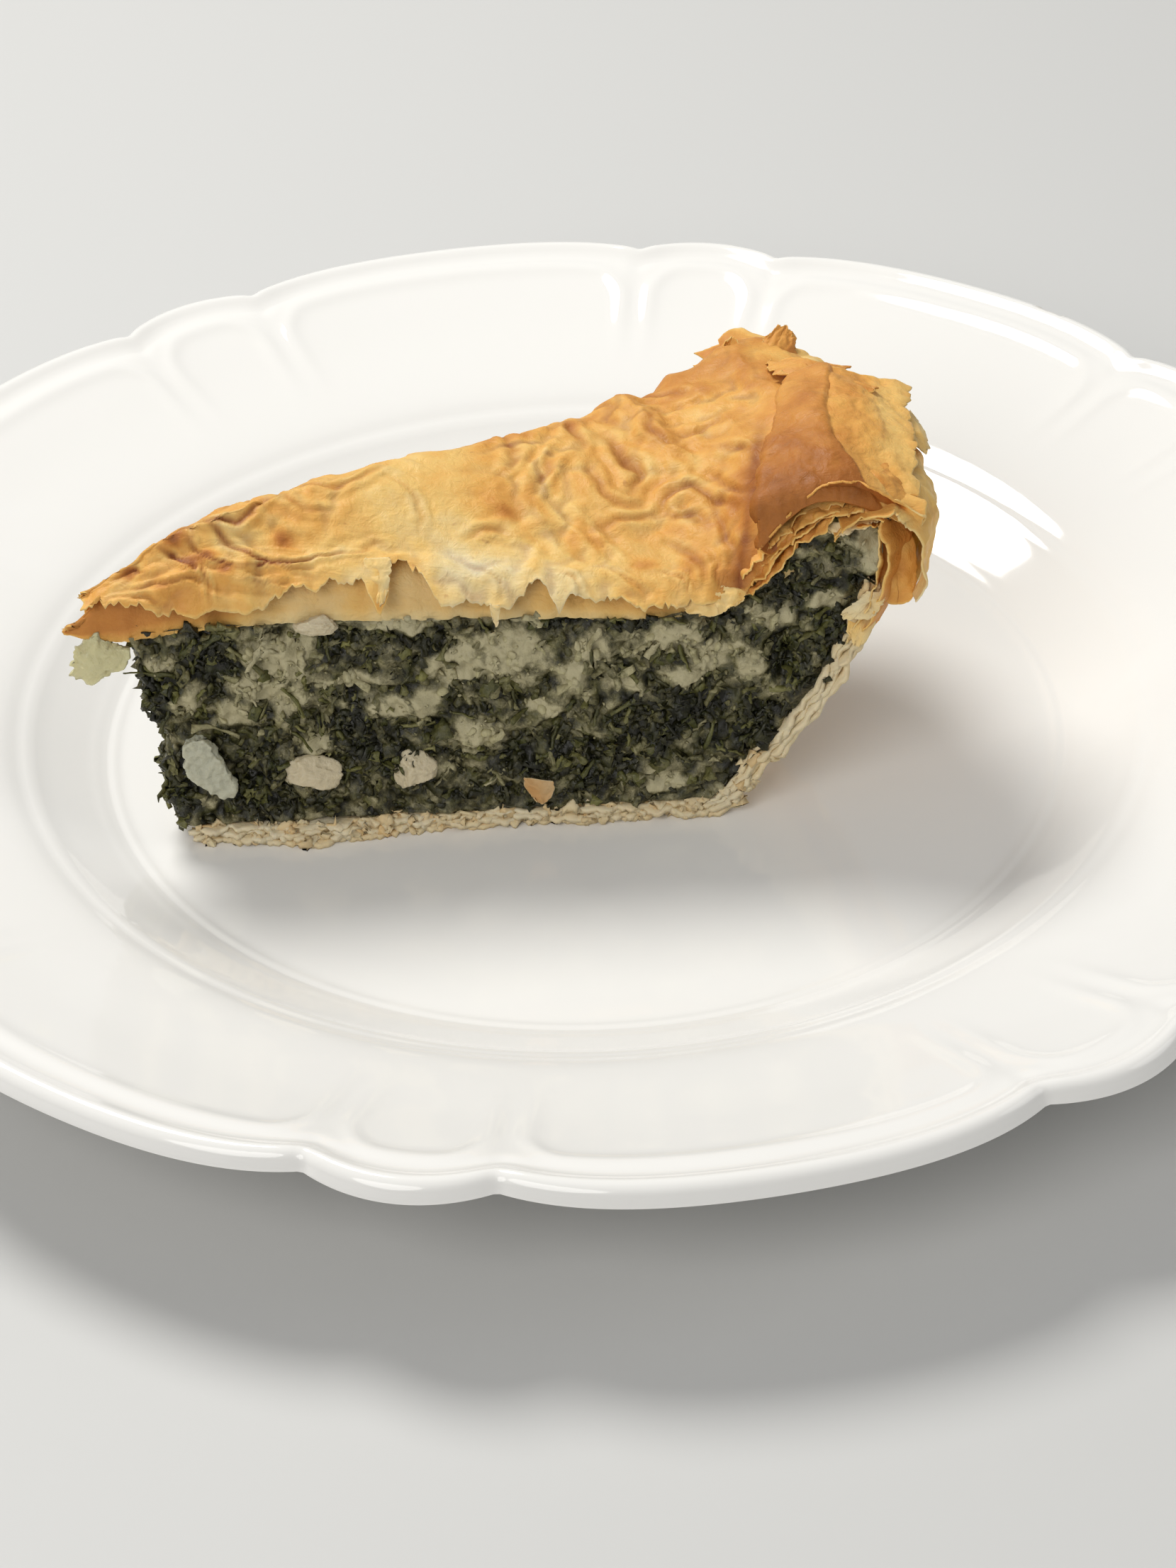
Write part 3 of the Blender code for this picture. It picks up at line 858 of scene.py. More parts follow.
def makeTopSheet():
    s = topSheet

    def shape(u, v):
        radius = mix(*s["reach"], u)
        if u < 0.03:  # the tip's own torn end
            radius += (0.9 * grain(v * 10, 0.0, 1.2, 60.0) - 0.4) * (1.0 - u / 0.03)
        if u > 0.97:
            ragged = 2.4 * grain(v * 60, 0.0, 4.0, 61.0) + 1.4 * grain(v * 60, 0.0, 1.1, 63.0)
            radius += ragged * (u - 0.97) / 0.03
        front = read(s["hang"], radius)
        torn = read(s["torn"], radius) + raggedness(radius, 71.0)
        back = backTorn(radius, 72.0, s["backDrop"])
        point, y = lidPoint(radius, v, front, back, 0.0, s["shoulder"], s["bend"], torn)
        width = arcWidth(radius)
        d = radius * math.cos(opening * max(y, 0.0) / max(width, 1.0))
        fallen = max(0.0, s["shoulder"] - y) if y < s["shoulder"] else 0.0
        t = y - 0.5 * fallen
        hanging = smooth(3.0, -1.5, y)
        strength = (1.0 + 0.7 * hanging) * smooth(0.0, 0.02, u)
        cream = smooth(8.5, 0.0, y) * smooth(47.0, 53.0, d) * (1.0 - smooth(72.0, 84.0, d))
        cream += 0.45 * smooth(7.0, 0.0, y) * smooth(27.0, 34.0, d) * (1.0 - smooth(42.0, 47.0, d))
        toast = -0.29 * cream
        toast += 0.08 * smooth(90.0, 104.0, radius) * (1 - 0.8 * hanging)
        toast += 0.10 * smooth(width - 9.0, width, y) + 0.03 * smooth(76.0, 94.0, d) * smooth(28.0, 44.0, y)
        return point, -0.4, toast, 0.0, (d, t), strength

    bm = makeSheet(s["cuts"], shape, lidRelief)
    inner = [vert for vert in bm.verts if not vert.is_boundary]
    bmesh.ops.smooth_vert(bm, verts=inner, factor=0.25, use_axis_x=True, use_axis_y=True, use_axis_z=True)
    finishPiece("topSheet", bm, crust, ["crust_lid"], s["thickness"])


# the paler sheets below it, seen in the torn gap and under the tip
underSheets = {
    "cuts": (260, 46),
    "thickness": 0.35,
    "sheets": ((-1.6, -1.0, 0.0, 0.27), (-3.0, -2.0, 0.4, 0.36)),  # lift, out, drop and toast of each
    "shoulder": 4.0,
    "bend": 1.7,
    "backDrop": 8.0,
    "reach": (-4.6, 107.0),
    "torn": (  # d, how far out of the front cut, and height of the torn edge
        (-4.6, 0.4, 40.6), (-2.0, 1.0, 39.6), (3.0, 1.0, 38.8), (8.0, 1.2, 39.4), (22.0, 1.3, 40.6),
        (30.0, 1.5, 41.0), (45.0, 1.5, 40.6), (67.0, 1.2, 39.6), (80.0, 1.0, 38.4), (91.0, 1.0, 37.9),
        (97.0, 0.8, 39.4), (103.0, 0.5, 42.2), (108.0, 0.2, 46.0),
    ),
}


def makeUnderSheets():
    s = underSheets
    start, end = s["reach"]
    for i, (lift, out, drop, tone) in enumerate(s["sheets"]):

        def shape(u, v):
            radius = mix(start + 1.5 * i, end, u)
            if u < 0.04:
                radius += 0.9 * grain(v * 9, 4.0, 1.0, 62.0 + i) * (1.0 - u / 0.04)
            edge = tornAt(s["torn"], radius, 80.0 + i, 0.3)
            front = (edge[0] + out, edge[1] - drop)
            back = backTorn(radius, 83.0 + i, s["backDrop"])
            sagged = lift - 3.6 * (1.0 - smooth(start, 4.0, radius))
            point, y = lidPoint(radius, v, front, back, sagged, s["shoulder"], s["bend"])
            d = radius
            lumps = 0.45 * grain(d, y, 9.0, 85.0 + i) + 0.2 * grain(d, y, 3.0, 86.0 + i) - 0.3
            tucked = smooth(0.0, -1.4, y)
            toast = tone + 0.10 * roughly(d, y, 9.0, 87.0)
            # browner towards the tip: real browning, and partly painted shade under the top sheet
            toast += (0.40 - 0.08 * tucked) * (1.0 - smooth(12.0, 28.0, d))
            toast += 0.12 * smooth(60.0, 84.0, d)
            # the fixed darkening is painted shade: these sheets lie in shade under the top sheet's edge
            return point, lumps, toast, 0.18

        bm = makeSheet(s["cuts"], shape)
        finishPiece(f"underSheet{i + 1}", bm, crust, (), s["thickness"])


# the folded flap over the rim
flap = {
    "cuts": (110, 120),
    "thickness": 0.34,
    "tucked": 0.13,  # share of the grid folded under at the left
    "crown": 3.2,
    "ridge": (  # its left fold, from the torn front corner back
        (101.2, -1.0, 50.6), (101.0, -0.4, 54.2), (101.2, 1.0, 57.0), (102.4, 6.0, 58.4), (104.1, 13.3, 59.4),
        (106.2, 20.7, 59.6), (107.8, 28.0, 59.0), (109.5, 36.0, 57.6),
    ),
    "front": (  # its torn front edge, arched over the filling
        (101.2, -1.0, 50.6), (104.0, -1.0, 54.4), (106.9, -0.9, 57.8), (110.6, -0.7, 60.8),
        (114.3, -0.6, 61.4), (118.2, -0.8, 60.0), (121.5, -1.0, 57.6), (123.6, -1.2, 54.8),
    ),
}


def makeFlap():
    s = flap

    def shape(u, v):
        # u goes back from the front edge, v from the tucked-under fold at the left to the right
        ridge = curve(s["ridge"], u)
        folded = s["tucked"]
        if v < folded:
            tuck = 1.0 - v / folded
            d, t, h = ridge
            d += 3.2 * tuck + 0.2
            h -= 0.9 * math.sin(math.pi * min(1.0, tuck * 1.2)) + 0.7 * tuck + 0.1
            t += 0.6 * tuck
        else:
            along = (v - folded) / (1.0 - folded)
            front = curve(s["front"], along)
            radius = mix(ridge.x, 124.0 - 2.0 * u, along)
            behind = Vector((0.0, ridge.y, 0.0))
            crown = s["crown"] * math.sin(math.pi * along**0.9) * (1.0 - 0.4 * u)
            behind.x = radius + 0.10 * ridge.y * along
            behind.z = ridge.z + crown - 2.4 * along**3
            blend = smooth(0.0, 0.30, u) ** 0.7
            blend = mix(smooth(0.0, 0.16, u), blend, 1.0 - along)
            point = front.lerp(behind, blend)
            d, t, h = point.x, mix(front.y, ridge.y, smooth(0.0, 0.2, u) if u < 0.2 else 1.0), point.z
        torn = 1.5 * shards(v * 34, 3.0, 90.0) + 0.7 * shards(v * 34, 1.0, 91.0) - 0.9
        t += torn * (1.0 - smooth(0.0, 0.04, u)) * smooth(0.0, 0.2, v)
        right = smooth(0.86, 1.0, v)
        ragged = 2.0 * shards(u * 40, 4.4, 92.0) + 0.9 * shards(u * 40, 1.5, 93.0)
        d += right * (2.6 - ragged + 1.2 * grain(u * 40, 0.0, 9.0, 93.0))
        facet = crumpled(d + 0.5 * t, t * 0.6, 11.0, 94.0)
        ripple = roughly(d, t, 5.0, 95.0)
        seam = mix(0.92, 0.46, smooth(0.0, 0.75, u)) + 0.03 * grain(d, t, 4.0, 96.0)
        panel = smooth(seam + 0.02, seam - 0.02, v)
        lift = -0.75 * facet + 0.12 * ripple - 0.32 * crumpled(d, t, 3.6, 97.0)
        lift -= 0.7 * panel * smooth(0.06, 0.24, u)
        lift *= smooth(0.0, 0.06, u) * 0.9 + 0.1
        pinkish = smooth(0.95, 0.2, u) * panel
        toast = 0.56 + 0.09 * ripple + 0.24 * pinkish + 0.06 * panel
        toast -= 0.20 * smooth(0.6, 1.0, v) * (1 - panel)
        # darker along the facets' folds and where the sheet is tucked under at the left: painted shade
        shadeAndBrowning = 0.22 * smooth(0.45, 0.85, facet)
        shadeAndBrowning += 0.6 * smooth(folded, 0.0, v)
        return place(d, t, h), lift, toast, shadeAndBrowning

    bm = makeSheet(s["cuts"], shape)
    finishPiece("rimFlap", bm, crust, (), s["thickness"])


# layers rolled up under the flap
rolled = {
    "cuts": (90, 34),
    "thickness": 0.26,
    "path": (  # d and h of the filling's upper edge, from left to right
        (97.0, 42.0), (100.0, 43.6), (103.0, 46.4), (106.0, 49.8), (109.0, 53.2), (112.4, 55.8),
        (116.5, 57.0), (120.5, 56.2),
    ),
    "strips": (  # how far over the filling, where it starts and ends along the path, and its toast
        (0.5, 0.0, 0.97, 0.62), (1.5, 0.04, 0.88, 0.54), (2.6, 0.16, 0.78, 0.60), (3.7, 0.10, 0.62, 0.50),
    ),
}


def makeRolledLayers():
    joined = None
    for i, (over, start, end, tone) in enumerate(rolled["strips"]):

        def shape(u, v):
            # u along the path, v back from the cut
            along = mix(start, end, u)
            d, h = curve(rolled["path"], along)
            up = over * (0.35 + 0.65 * math.sin(math.pi * u) ** 0.5)
            run = 28.0 * along
            torn = 2.4 * shards(run + 5 * i, 3.8, 100.0 + i) + 0.5 * shards(run + 5 * i, 0.9, 104.0 + i) - 0.9
            t = -1.5 + 0.35 * i + torn * (1.0 - v) ** 2 + 9.0 * v
            droop = 1.1 * math.exp(-v * 9.0 / 1.3) * (0.6 + 1.2 * grain(run, i * 5.0, 4.0, 105.0))
            d += -0.75 * up
            h += 0.65 * up - droop
            lift = -0.9 * crumpled(run, 9.0 * v + 7 * i, 3.0, 101.0)
            toast = tone + 0.16 * roughly(run, 9.0 * v + 5 * i, 4.0, 103.0)
            return place(d, t, h), lift, toast, 0.22 * max(0.0, grain(run, v * 9.0, 1.7, 106.0 + i))

        bm = makeSheet(rolled["cuts"], shape)
        joined = joinInto(joined, bm) if joined else bm
    finishPiece("rolledLayers", joined, crust, (), rolled["thickness"])


def joinInto(bm, other):
    mesh = bpy.data.meshes.new("joining")
    other.to_mesh(mesh)
    other.free()
    bm.from_mesh(mesh)
    bpy.data.meshes.remove(mesh)
    return bm


# sheets wrapped over the rim and down the outside
wraps = {
    "cuts": (210, 78),
    "thickness": 0.24,
    "across": (66.0, 34.0),  # length round the arc and down the outside
    "sections": (  # radius and height from the crown down the outside, for each sheet
        ((112, 52), (117, 54), (121, 53.5), (122.6, 49), (121.4, 43), (119.4, 36.5), (117.2, 30.5)),
        ((112, 53.2), (118, 55.6), (123.4, 54.9), (125.8, 50.5), (125.6, 45), (123.8, 39), (121.6, 33.6)),
        ((113, 54.8), (120, 57.2), (126.8, 56.2), (130.4, 51.6), (130.2, 46), (127.8, 39.6), (125.2, 33.6)),
    ),
    "curls": (3.2, 6.6, 5.6),  # how far each front end turns in over the cut
    "out": (0.8, 1.6, 2.8),
    "tones": (0.42, 0.52, 0.34),
    "browned": ((0.22, 0.42), (0.22, 0.42), (0.10, 0.26)),  # share of the way down where the top's brown ends
}


def makeWraps():
    w = wraps
    for i, section in enumerate(w["sections"]):

        def shape(u, v):
            # u round the arc from the front cut, v down the section
            share = mix(-0.006, 1.012, u)
            run, fall = u * w["across"][0], v * w["across"][1]
            ragged = 0.5 + 0.9 * grain(run, i * 11.0, 6.0, 110.0)
            reach = 1.0 - 0.11 * ragged - 0.07 * shards(run, 4.5, 111.0 + i)
            reach -= 0.04 * shards(run, 1.5, 109.0 + i)
            if i == 2:
                reach -= 0.13 * math.exp(-run / 5.0)
            radius, h = curve(section, v * reach)
            ends = min(u, 1.0 - u) * opening * 128.0  # distance from the nearest cut
            curl = math.exp(-ends / (3.4 + 1.0 * grain(fall, i * 6.0, 8.0, 108.0)))
            down = smooth(0.20, 0.46, v) * (1.0 - (0.25 * smooth(0.5, 0.9, v) if i == 2 else 0.0))
            radius -= w["curls"][i] * curl * down * (0.9 + 0.4 * grain(fall, i * 3.0, 7.0, 107.0))
            waves = 1.5 * grain(run, fall * 0.4, 7.0, 112.0 + i) * smooth(0.25, 0.8, v)
            radius += waves + 0.6 * grain(run, fall * 0.6, 3.0, 115.0 + i)
            h = rimLevel(radius, min(max(share, 0.0), 1.0) * 0.9, h)
            torn = 1.2 * grain(fall, i * 5.0, 5.0, 118.0) + 1.5 * shards(fall, 4.0, 119.0 + i)
            torn += 0.6 * shards(fall, 1.3, 117.0 + i) - w["out"][i] - 0.6
            edge = 1.0 - smooth(0.0, 0.035, u) if u < 0.5 else -smooth(0.965, 1.0, u)
            point = polar(radius, share, h)
            point += acrossDirection(share) * mm * torn * edge
            lift = 0.62 * crumpled(run, 0.5 * fall, 5.0, 121.0 + i) + 0.4 * grain(run, fall, 2.6, 123.0 + i)
            toast = w["tones"][i] + 0.20 * roughly(run, 0.6 * fall, 8.0, 124.0 + i)
            wavering = v + 0.1 * grain(run, fall, 5.0, 129.0)
            toast += (0.62 - w["tones"][i]) * (1.0 - smooth(*w["browned"][i], wavering))
            return point, lift, toast, 0.3 * max(0.0, grain(run, fall * 0.5, 2.4, 126.0 + i) - 0.15)

        bm = makeSheet(w["cuts"], shape)
        bmesh.ops.reverse_faces(bm, faces=bm.faces)
        finishPiece(f"rimWrap{i + 1}", bm, crust, (), w["thickness"])


# torn flakes at the edges. Each flake: toast, bulge, ragged depth, then its corners as d, t, h:
# far left, far right, near left, near right
flakes = {
    "cuts": (54, 36),
    "thickness": 0.22,
    "front": (
        (0.24, 0.4, 0.6, (41.2, 3.4, 49.4), (46.2, 3.4, 49.3), (42.4, -2.8, 44.2), (44.8, -2.4, 44.8)),
        (0.14, 0.1, 0.2, (60.0, -2.4, 43.8), (61.8, -2.4, 43.8), (60.6, -3.2, 40.4), (61.3, -3.2, 40.2)),
        (0.26, 0.5, 0.5, (88.5, 0.2, 42.4), (99.4, -0.2, 44.0), (90.6, -3.6, 39.6), (98.8, -2.8, 41.2)),
    ),
    "rim": (
        (0.50, 0.9, 0.25, (119.6, 3.4, 54.6), (124.8, 4.6, 52.0), (118.8, 0.8, 38.4), (126.2, 1.2, 37.4)),
        (0.10, 0.5, 0.6, (108.6, 4.4, 56.2), (121.0, 4.4, 57.2), (109.6, -1.6, 51.6), (121.0, -1.4, 53.6)),
        (0.12, 0.3, 0.5, (117.0, 0.0, 41.4), (121.2, -0.3, 41.0), (112.2, -2.0, 37.4), (118.6, -1.9, 36.6)),
        (0.20, 0.4, 0.6, (114.6, 0.6, 38.0), (120.2, 0.4, 38.4), (114.6, -1.0, 32.0), (117.6, -0.7, 31.0)),
        (0.58, 0.9, 0.9, (103.0, 51.0, 51.5), (113.0, 52.5, 51.5), (109.0, 57.4, 56.8), (112.4, 57.6, 55.8)),
        (0.56, 0.6, 0.8, (97.0, 50.0, 50.0), (105.0, 52.0, 50.5), (100.8, 56.2, 55.6), (103.2, 56.4, 55.0)),
        (0.55, 1.2, 0.5, (106.0, 46.0, 55.5), (113.0, 41.5, 57.8), (107.0, 35.0, 58.6), (122.4, 35.4, 59.2)),
        (0.57, 1.2, 0.5, (108.0, 36.5, 57.8), (118.0, 33.0, 59.0), (109.0, 25.0, 60.2), (126.0, 28.6, 59.2)),
        (0.26, 0.9, 0.9, (122.5, 33.0, 56.4), (129.6, 33.0, 51.5), (124.0, 21.0, 56.8), (131.0, 20.0, 50.5)),
    ),
    "crumb": ((0.36, 0.3, 0.3, (63.4, -0.6, 10.2), (69.6, -1.0, 9.2), (66.0, -1.9, 5.2), (68.0, -1.8, 5.8)),),
}


def makeFlakes(name, kind, material):
    joined = None
    for i, (toast, bulge, ragged, *corners) in enumerate(flakes[kind]):
        farLeft, farRight, nearLeft, nearRight = (Vector(corner) for corner in corners)
        across = (farRight - farLeft).cross(nearLeft - farLeft).normalized()
        across *= -1.0 if across.z < 0.0 else 1.0
        seed = 170.0 + 5.0 * i + len(kind)
        length, slope = (farRight - farLeft).length, (nearLeft - farLeft).length

        def shape(u, v):
            # u from left to right, v from near to far
            x, y = u * length, v * slope
            rim = max(abs(2 * u - 1) ** 3, (1.0 - v) ** 2)
            pinch = 1.0 - 0.30 * (abs(2 * u - 1) * abs(2 * v - 1)) ** 3
            u = 0.5 + (u - 0.5) * pinch
            v = 1.0 - (1.0 - v) * pinch
            side = 1.0 if u < 0.5 else -1.0
            tornX = side * (1.6 * shards(y, 2.6, seed) + 0.8 * shards(y, 0.9, seed + 0.3))
            tornX += grain(x, y, 3.0, seed)
            tornY = 2.0 * shards(x, 2.8, seed + 0.6) + 0.8 * shards(x, 0.9, seed + 0.9)
            tornY += grain(x, y, 3.0, seed + 4)
            u += ragged * rim * tornX / length
            v += ragged * rim * tornY / slope
            at = nearLeft.lerp(nearRight, u).lerp(farLeft.lerp(farRight, u), v)
            swell = bulge * math.sin(math.pi * min(max(u, 0.0), 1.0))
            swell *= math.sin(math.pi * min(max(v, 0.0), 1.0) * 0.8)
            swell += 0.5 * crumpled(x, y, 4.5, seed + 1) + 0.3 * grain(x, y, 2.0, seed + 2)
            at += across * swell
            return place(*at), 0.0, toast + 0.14 * roughly(x, y, 6.0, seed + 3), 0.40 * (kind == "crumb")

        bm = makeSheet(flakes["cuts"], shape)
        joined = joinInto(joined, bm) if joined else bm
    finishPiece(name, joined, material, (), flakes["thickness"], offset=0.0)


# the base and outer wall of pale layers
base = {
    "layers": 4,
    "cuts": (230, 40),
    "thickness": 0.85,
    "bend": 0.70,  # share of the sheet that lies flat
    "flat": (12.2, 95.0),  # where the flat part starts and ends
    "length": 140.0,
    "step": 0.68,  # from one layer up to the next
    "outside": (
        (97.6, 1.2), (101.0, 6.5), (107.3, 14.0), (112.6, 21.5), (116.2, 29.0), (119.0, 36.0), (120.6, 42.0),
    ),
    "bits": {"count": 300, "size": (1.9, 1.2, 0.6), "tilt": 0.2, "bend": 0.12, "shake": 0.24},
}


def basePath(u, layer):
    # distance and height along one layer, from the tip, out along the floor and up the wall
    if u < base["bend"]:
        start, end = base["flat"]
        return mix(start, end - 0.6 * layer, u / base["bend"]), 0.45 + base["step"] * layer
    climb = (u - base["bend"]) / (1.0 - base["bend"])
    radius, h = curve(base["outside"], climb)
    return radius - 0.8 * layer - 0.4, h + 0.45 + 0.3 * layer


def baseEdge(u, layer):
    # how far a layer stands out of the cut, and whether it lies flat there
    at = u * base["length"]
    flat = 1.0 - smooth(base["bend"] - 0.03, base["bend"] + 0.05, u)
    out = 0.2 + 1.6 * grain(at, layer * 7.0, 5.0, 130.0) + 1.2 * grain(at, layer * 7.0, 1.4, 131.0)
    out += 2.8 * bell(u, 0.16, 0.09) * (1.0 - 0.2 * layer)
    return out - 0.5 * flat * shards(at, 2.0, 132.0 + layer), flat


def makeBase():
    b = base
    joined = None
    for i in range(b["layers"]):

        def shape(u, v):
            radius, h = basePath(u, i)
            at = u * b["length"]
            out, flat = baseEdge(u, i)
            front = smooth(0.07, 0.0, v)
            back = smooth(0.93, 1.0, v)
            point = polar(radius, v, h)
            point -= acrossDirection(v) * mm * out * front
            point += acrossDirection(v) * mm * (0.8 + 1.2 * grain(at, i * 7.0, 3.0, 132.0)) * back
            if u < 0.02:
                point += alongCut * mm * (2.5 * grain(v * 20, i * 3.0, 2.0, 133.0)) * (1.0 - u / 0.02)
            if u > 0.96:
                point.z += 3.5 * grain(v * 60, i * 3.0, 3.0, 134.0) * mm * (u - 0.96) / 0.04
            edge = max(front, back)
            lift = (0.3 + 0.45 * edge) * grain(at, v * 60, 2.6, 135.0 + i)
            lift += (1.0 - flat) * 1.1 * grain(at, v * 60, 6.0, 140.0)
            lift += (1.0 - flat) * 0.7 * edge * grain(at, v * 60, 1.9, 141.0 + i)
            if i == 0:
                lift = max(lift, 0.0) if flat > 0.5 else lift
            outer = mix(0.16 * (1.0 - edge), 0.14, flat) if i == 0 else 0.0
            toast = 0.15 + 0.14 * roughly(at, v * 60, 8.0, 145.0) + outer
            toast += 0.24 * smooth(24.0, 38.0, h) - 0.08 * bell(radius, 20.0, 12.0) * flat
            return point, lift, toast, 0.25 * max(0.0, grain(at, v * 60, 2.0, 147.0 + i))

        bm = makeSheet(b["cuts"], shape)
        joined = joinInto(joined, bm) if joined else bm
    finishPiece("baseLayers", joined, paleCrust, ["base_crust"], b["thickness"], offset=0.0)


def makeBaseBits():
    # crumbled pastry along both cut edges of the base
    spec = base["bits"]
    rng = np.random.default_rng(31)
    parts = []
    for share in (0.0, 1.0):
        spots, facing = [], []
        outward = acrossDirection(share) * (1.0 if share else -1.0)
        for _ in range(spec["count"]):
            u, layer = rng.random() * 0.78, rng.uniform(-0.4, base["layers"] - 0.4)
            radius, h = basePath(u, layer)
            out = baseEdge(u, layer)[0] if share == 0.0 else 0.8
            spot = polar(radius + rng.normal(0.0, 0.35), share, max(h, 0.6))
            spots.append(spot + outward * (out - rng.uniform(0.1, 1.8)) * mm)
            facing.append(outward)
        verts, faces, size = scatterBits(gridBlock(2, 1, 0), np.array(spots), np.array(facing), spec, rng)
        verts[:, 2] = np.maximum(verts[:, 2], wedge["floorZ"] + 0.1 * mm)
        height = np.array([spot.z / mm for spot in spots])
        toast = rng.beta(1.6, 4.0, len(spots)) * 0.28 + 0.12
        toast += 0.20 * np.clip((height - 34.0) / 14.0, 0.0, 1.0)
        parts.append((verts, faces, {"toast": np.repeat(toast, size), "shadeAndBrowning": np.zeros(len(verts))}))
    bitsPiece("baseBits", parts, paleCrust)


# the spinach and feta filling
filling = {
    "cuts": (310, 18, 108),
    "start": 7.0,  # where its top begins, near the tip
    "backLift": 0.8,  # how much of the lid's rise at the back it follows
    "lumps": ((7.0, 1.1), (3.1, 1.3), (1.5, 0.6), (0.8, 0.42)),  # size and depth
    "curds": (3.6, 0.5),
    "clumps": (1.7, 0.7),
    "cream": (  # pale patches on the front cut: d, h, half length, half height
        (28.0, 34.5, 6.2, 4.4), (24.0, 29.5, 4.4, 3.0), (28.5, 26.0, 3.4, 3.0), (34.0, 40.2, 3.6, 1.8),
        (38.5, 29.6, 5.0, 1.0), (46.0, 39.4, 6.0, 1.4), (55.0, 31.5, 4.2, 4.6), (63.0, 33.5, 5.4, 5.0),
        (57.0, 18.0, 4.0, 2.4), (87.5, 34.5, 4.5, 2.6), (95.0, 30.6, 3.8, 2.6), (100.0, 29.0, 3.0, 2.4),
        (75.5, 33.5, 3.2, 2.8), (86.8, 7.0, 2.6, 2.0), (20.0, 24.5, 2.8, 2.2), (9.6, 33.5, 2.6, 2.0),
        (118.4, 49.5, 2.0, 3.5), (112.0, 40.0, 3.0, 2.2), (68.0, 22.0, 3.4, 1.5), (44.0, 24.0, 3.0, 1.6),
        (81.0, 26.0, 2.6, 2.0), (50.0, 24.5, 2.4, 2.6), (72.0, 28.0, 2.4, 2.4), (13.0, 27.0, 2.4, 2.2),
        (104.5, 36.5, 2.4, 2.4), (33.0, 17.5, 2.6, 1.6), (90.0, 26.5, 2.2, 1.6), (66.0, 38.4, 3.4, 1.0),
    ),
    "dark": (
        (17.5, 34.0, 4.8, 4.6), (36.0, 35.5, 2.8, 2.4), (51.0, 36.0, 3.4, 2.0), (71.6, 38.0, 4.6, 1.6),
        (105.4, 30.6, 2.4, 5.5), (113.0, 32.8, 3.4, 4.5), (107.0, 42.5, 3.6, 3.0), (38.6, 19.0, 4.4, 3.6),
        (83.5, 17.5, 5.0, 5.0), (100.0, 17.5, 4.0, 5.0), (76.5, 9.7, 4.5, 3.4), (22.0, 9.0, 5.0, 5.0),
        (11.0, 11.0, 3.0, 5.0), (64.0, 12.5, 4.0, 3.0), (92.0, 21.0, 3.5, 4.0), (44.0, 13.0, 3.0, 4.0),
        (71.0, 15.0, 4.0, 2.2), (8.5, 29.0, 3.0, 3.0), (82.0, 38.0, 3.0, 1.6),
    ),
    "holes": (  # d, h, half length, half height, depth
        (105.4, 30.6, 1.3, 3.6, 1.8), (41.8, 32.0, 1.2, 1.2, 1.0),
    ),
    "bits": {  # count, size, then how much each tilts, bends, shakes and stands proud
        "shreds": (1300, (1.7, 1.2, 0.55), 0.20, 0.2, 0.2, -0.15),
        "curdLumps": (160, (1.7, 1.3, 0.8), 0.3, 0.0, 0.06, -0.3),
        "crumbs": (1100, (0.62, 0.5, 0.42), 0.8, 0.0, 0.09, 0.1),
        "stems": (80, (4.6, 0.5, 0.42), 0.30, 0.08, 0.14, 0.3),
        "wisps": (200, (3.0, 0.8, 0.5), 0.25, 0.12, 0.2, 0.05),
        "leaves": (46, (3.0, 1.7, 0.40), 0.22, 0.09, 0.26, 0.2),
    },
    "sprigs": (  # leaves that stick out: d, t, h
        (7.8, 0.6, 10.4), (10.2, -0.2, 4.8), (8.2, 0.2, 9.4), (31.0, -1.2, 24.6), (29.0, -1.0, 23.4),
        (78.0, -1.2, 15.0), (59.5, -1.0, 27.5), (62.0, -1.0, 28.0), (73.0, -1.0, 13.5),
        (51.5, -1.0, 20.0), (93.5, -1.0, 9.0),
    ),
    "feta": (  # d, t, h and the size along, up and through
        (31.0, 0.2, 12.2, 8.8, 6.0, 4.6), (47.0, 0.2, 12.4, 6.7, 6.9, 4.6), (34.0, -0.2, 40.2, 6.8, 3.6, 3.4),
    ),
    "facets": 18,  # flat faces that each lump is broken along
    "chip": {
        "back": -1.4,
        "thick": 1.9,
        "grain": 0.45,  # longest edge of its mesh
        "crumbly": ((2.6, 0.45), (1.0, 0.42), (0.5, 0.16)),  # size and depth of its crumbs
        "outline": (
            (11.7, 19.9), (12.3, 21.2), (13.6, 22.0), (15.0, 21.9), (16.0, 20.7), (17.0, 18.4), (18.2, 16.2),
            (18.8, 14.4), (19.3, 12.6), (18.9, 10.8), (17.4, 10.2), (15.6, 11.6), (13.2, 13.6), (11.9, 15.4),
            (11.5, 17.2), (11.9, 18.6),
        ),
    },
    "curd": {
        "middle": (-0.2, 0.6, 35.4),
        "thick": 1.5,
        "outline": (  # how far it reaches from its middle, by angle up from the right
            (-180, 4.2), (-150, 4.6), (-120, 5.4), (-105, 5.6), (-80, 4.0), (-50, 3.4), (-20, 5.4), (0, 6.0),
            (40, 5.0), (90, 4.6), (140, 4.4), (180, 4.0),
        ),
    },
}


def gridBlock(cutsAlong, cutsAcross, cutsUp):
    block = bmesh.new()
    bmesh.ops.create_cube(block, size=1.0)
    bmesh.ops.translate(block, verts=block.verts, vec=(0.5, 0.5, 0.5))
    for axis, cuts in enumerate((cutsAlong, cutsAcross, cutsUp)):
        edges = [e for e in block.edges if abs(e.verts[0].co[axis] - e.verts[1].co[axis]) > 0.5]
        if cuts:
            bmesh.ops.subdivide_edges(block, edges=edges, cuts=cuts, use_grid_fill=True)
    return block


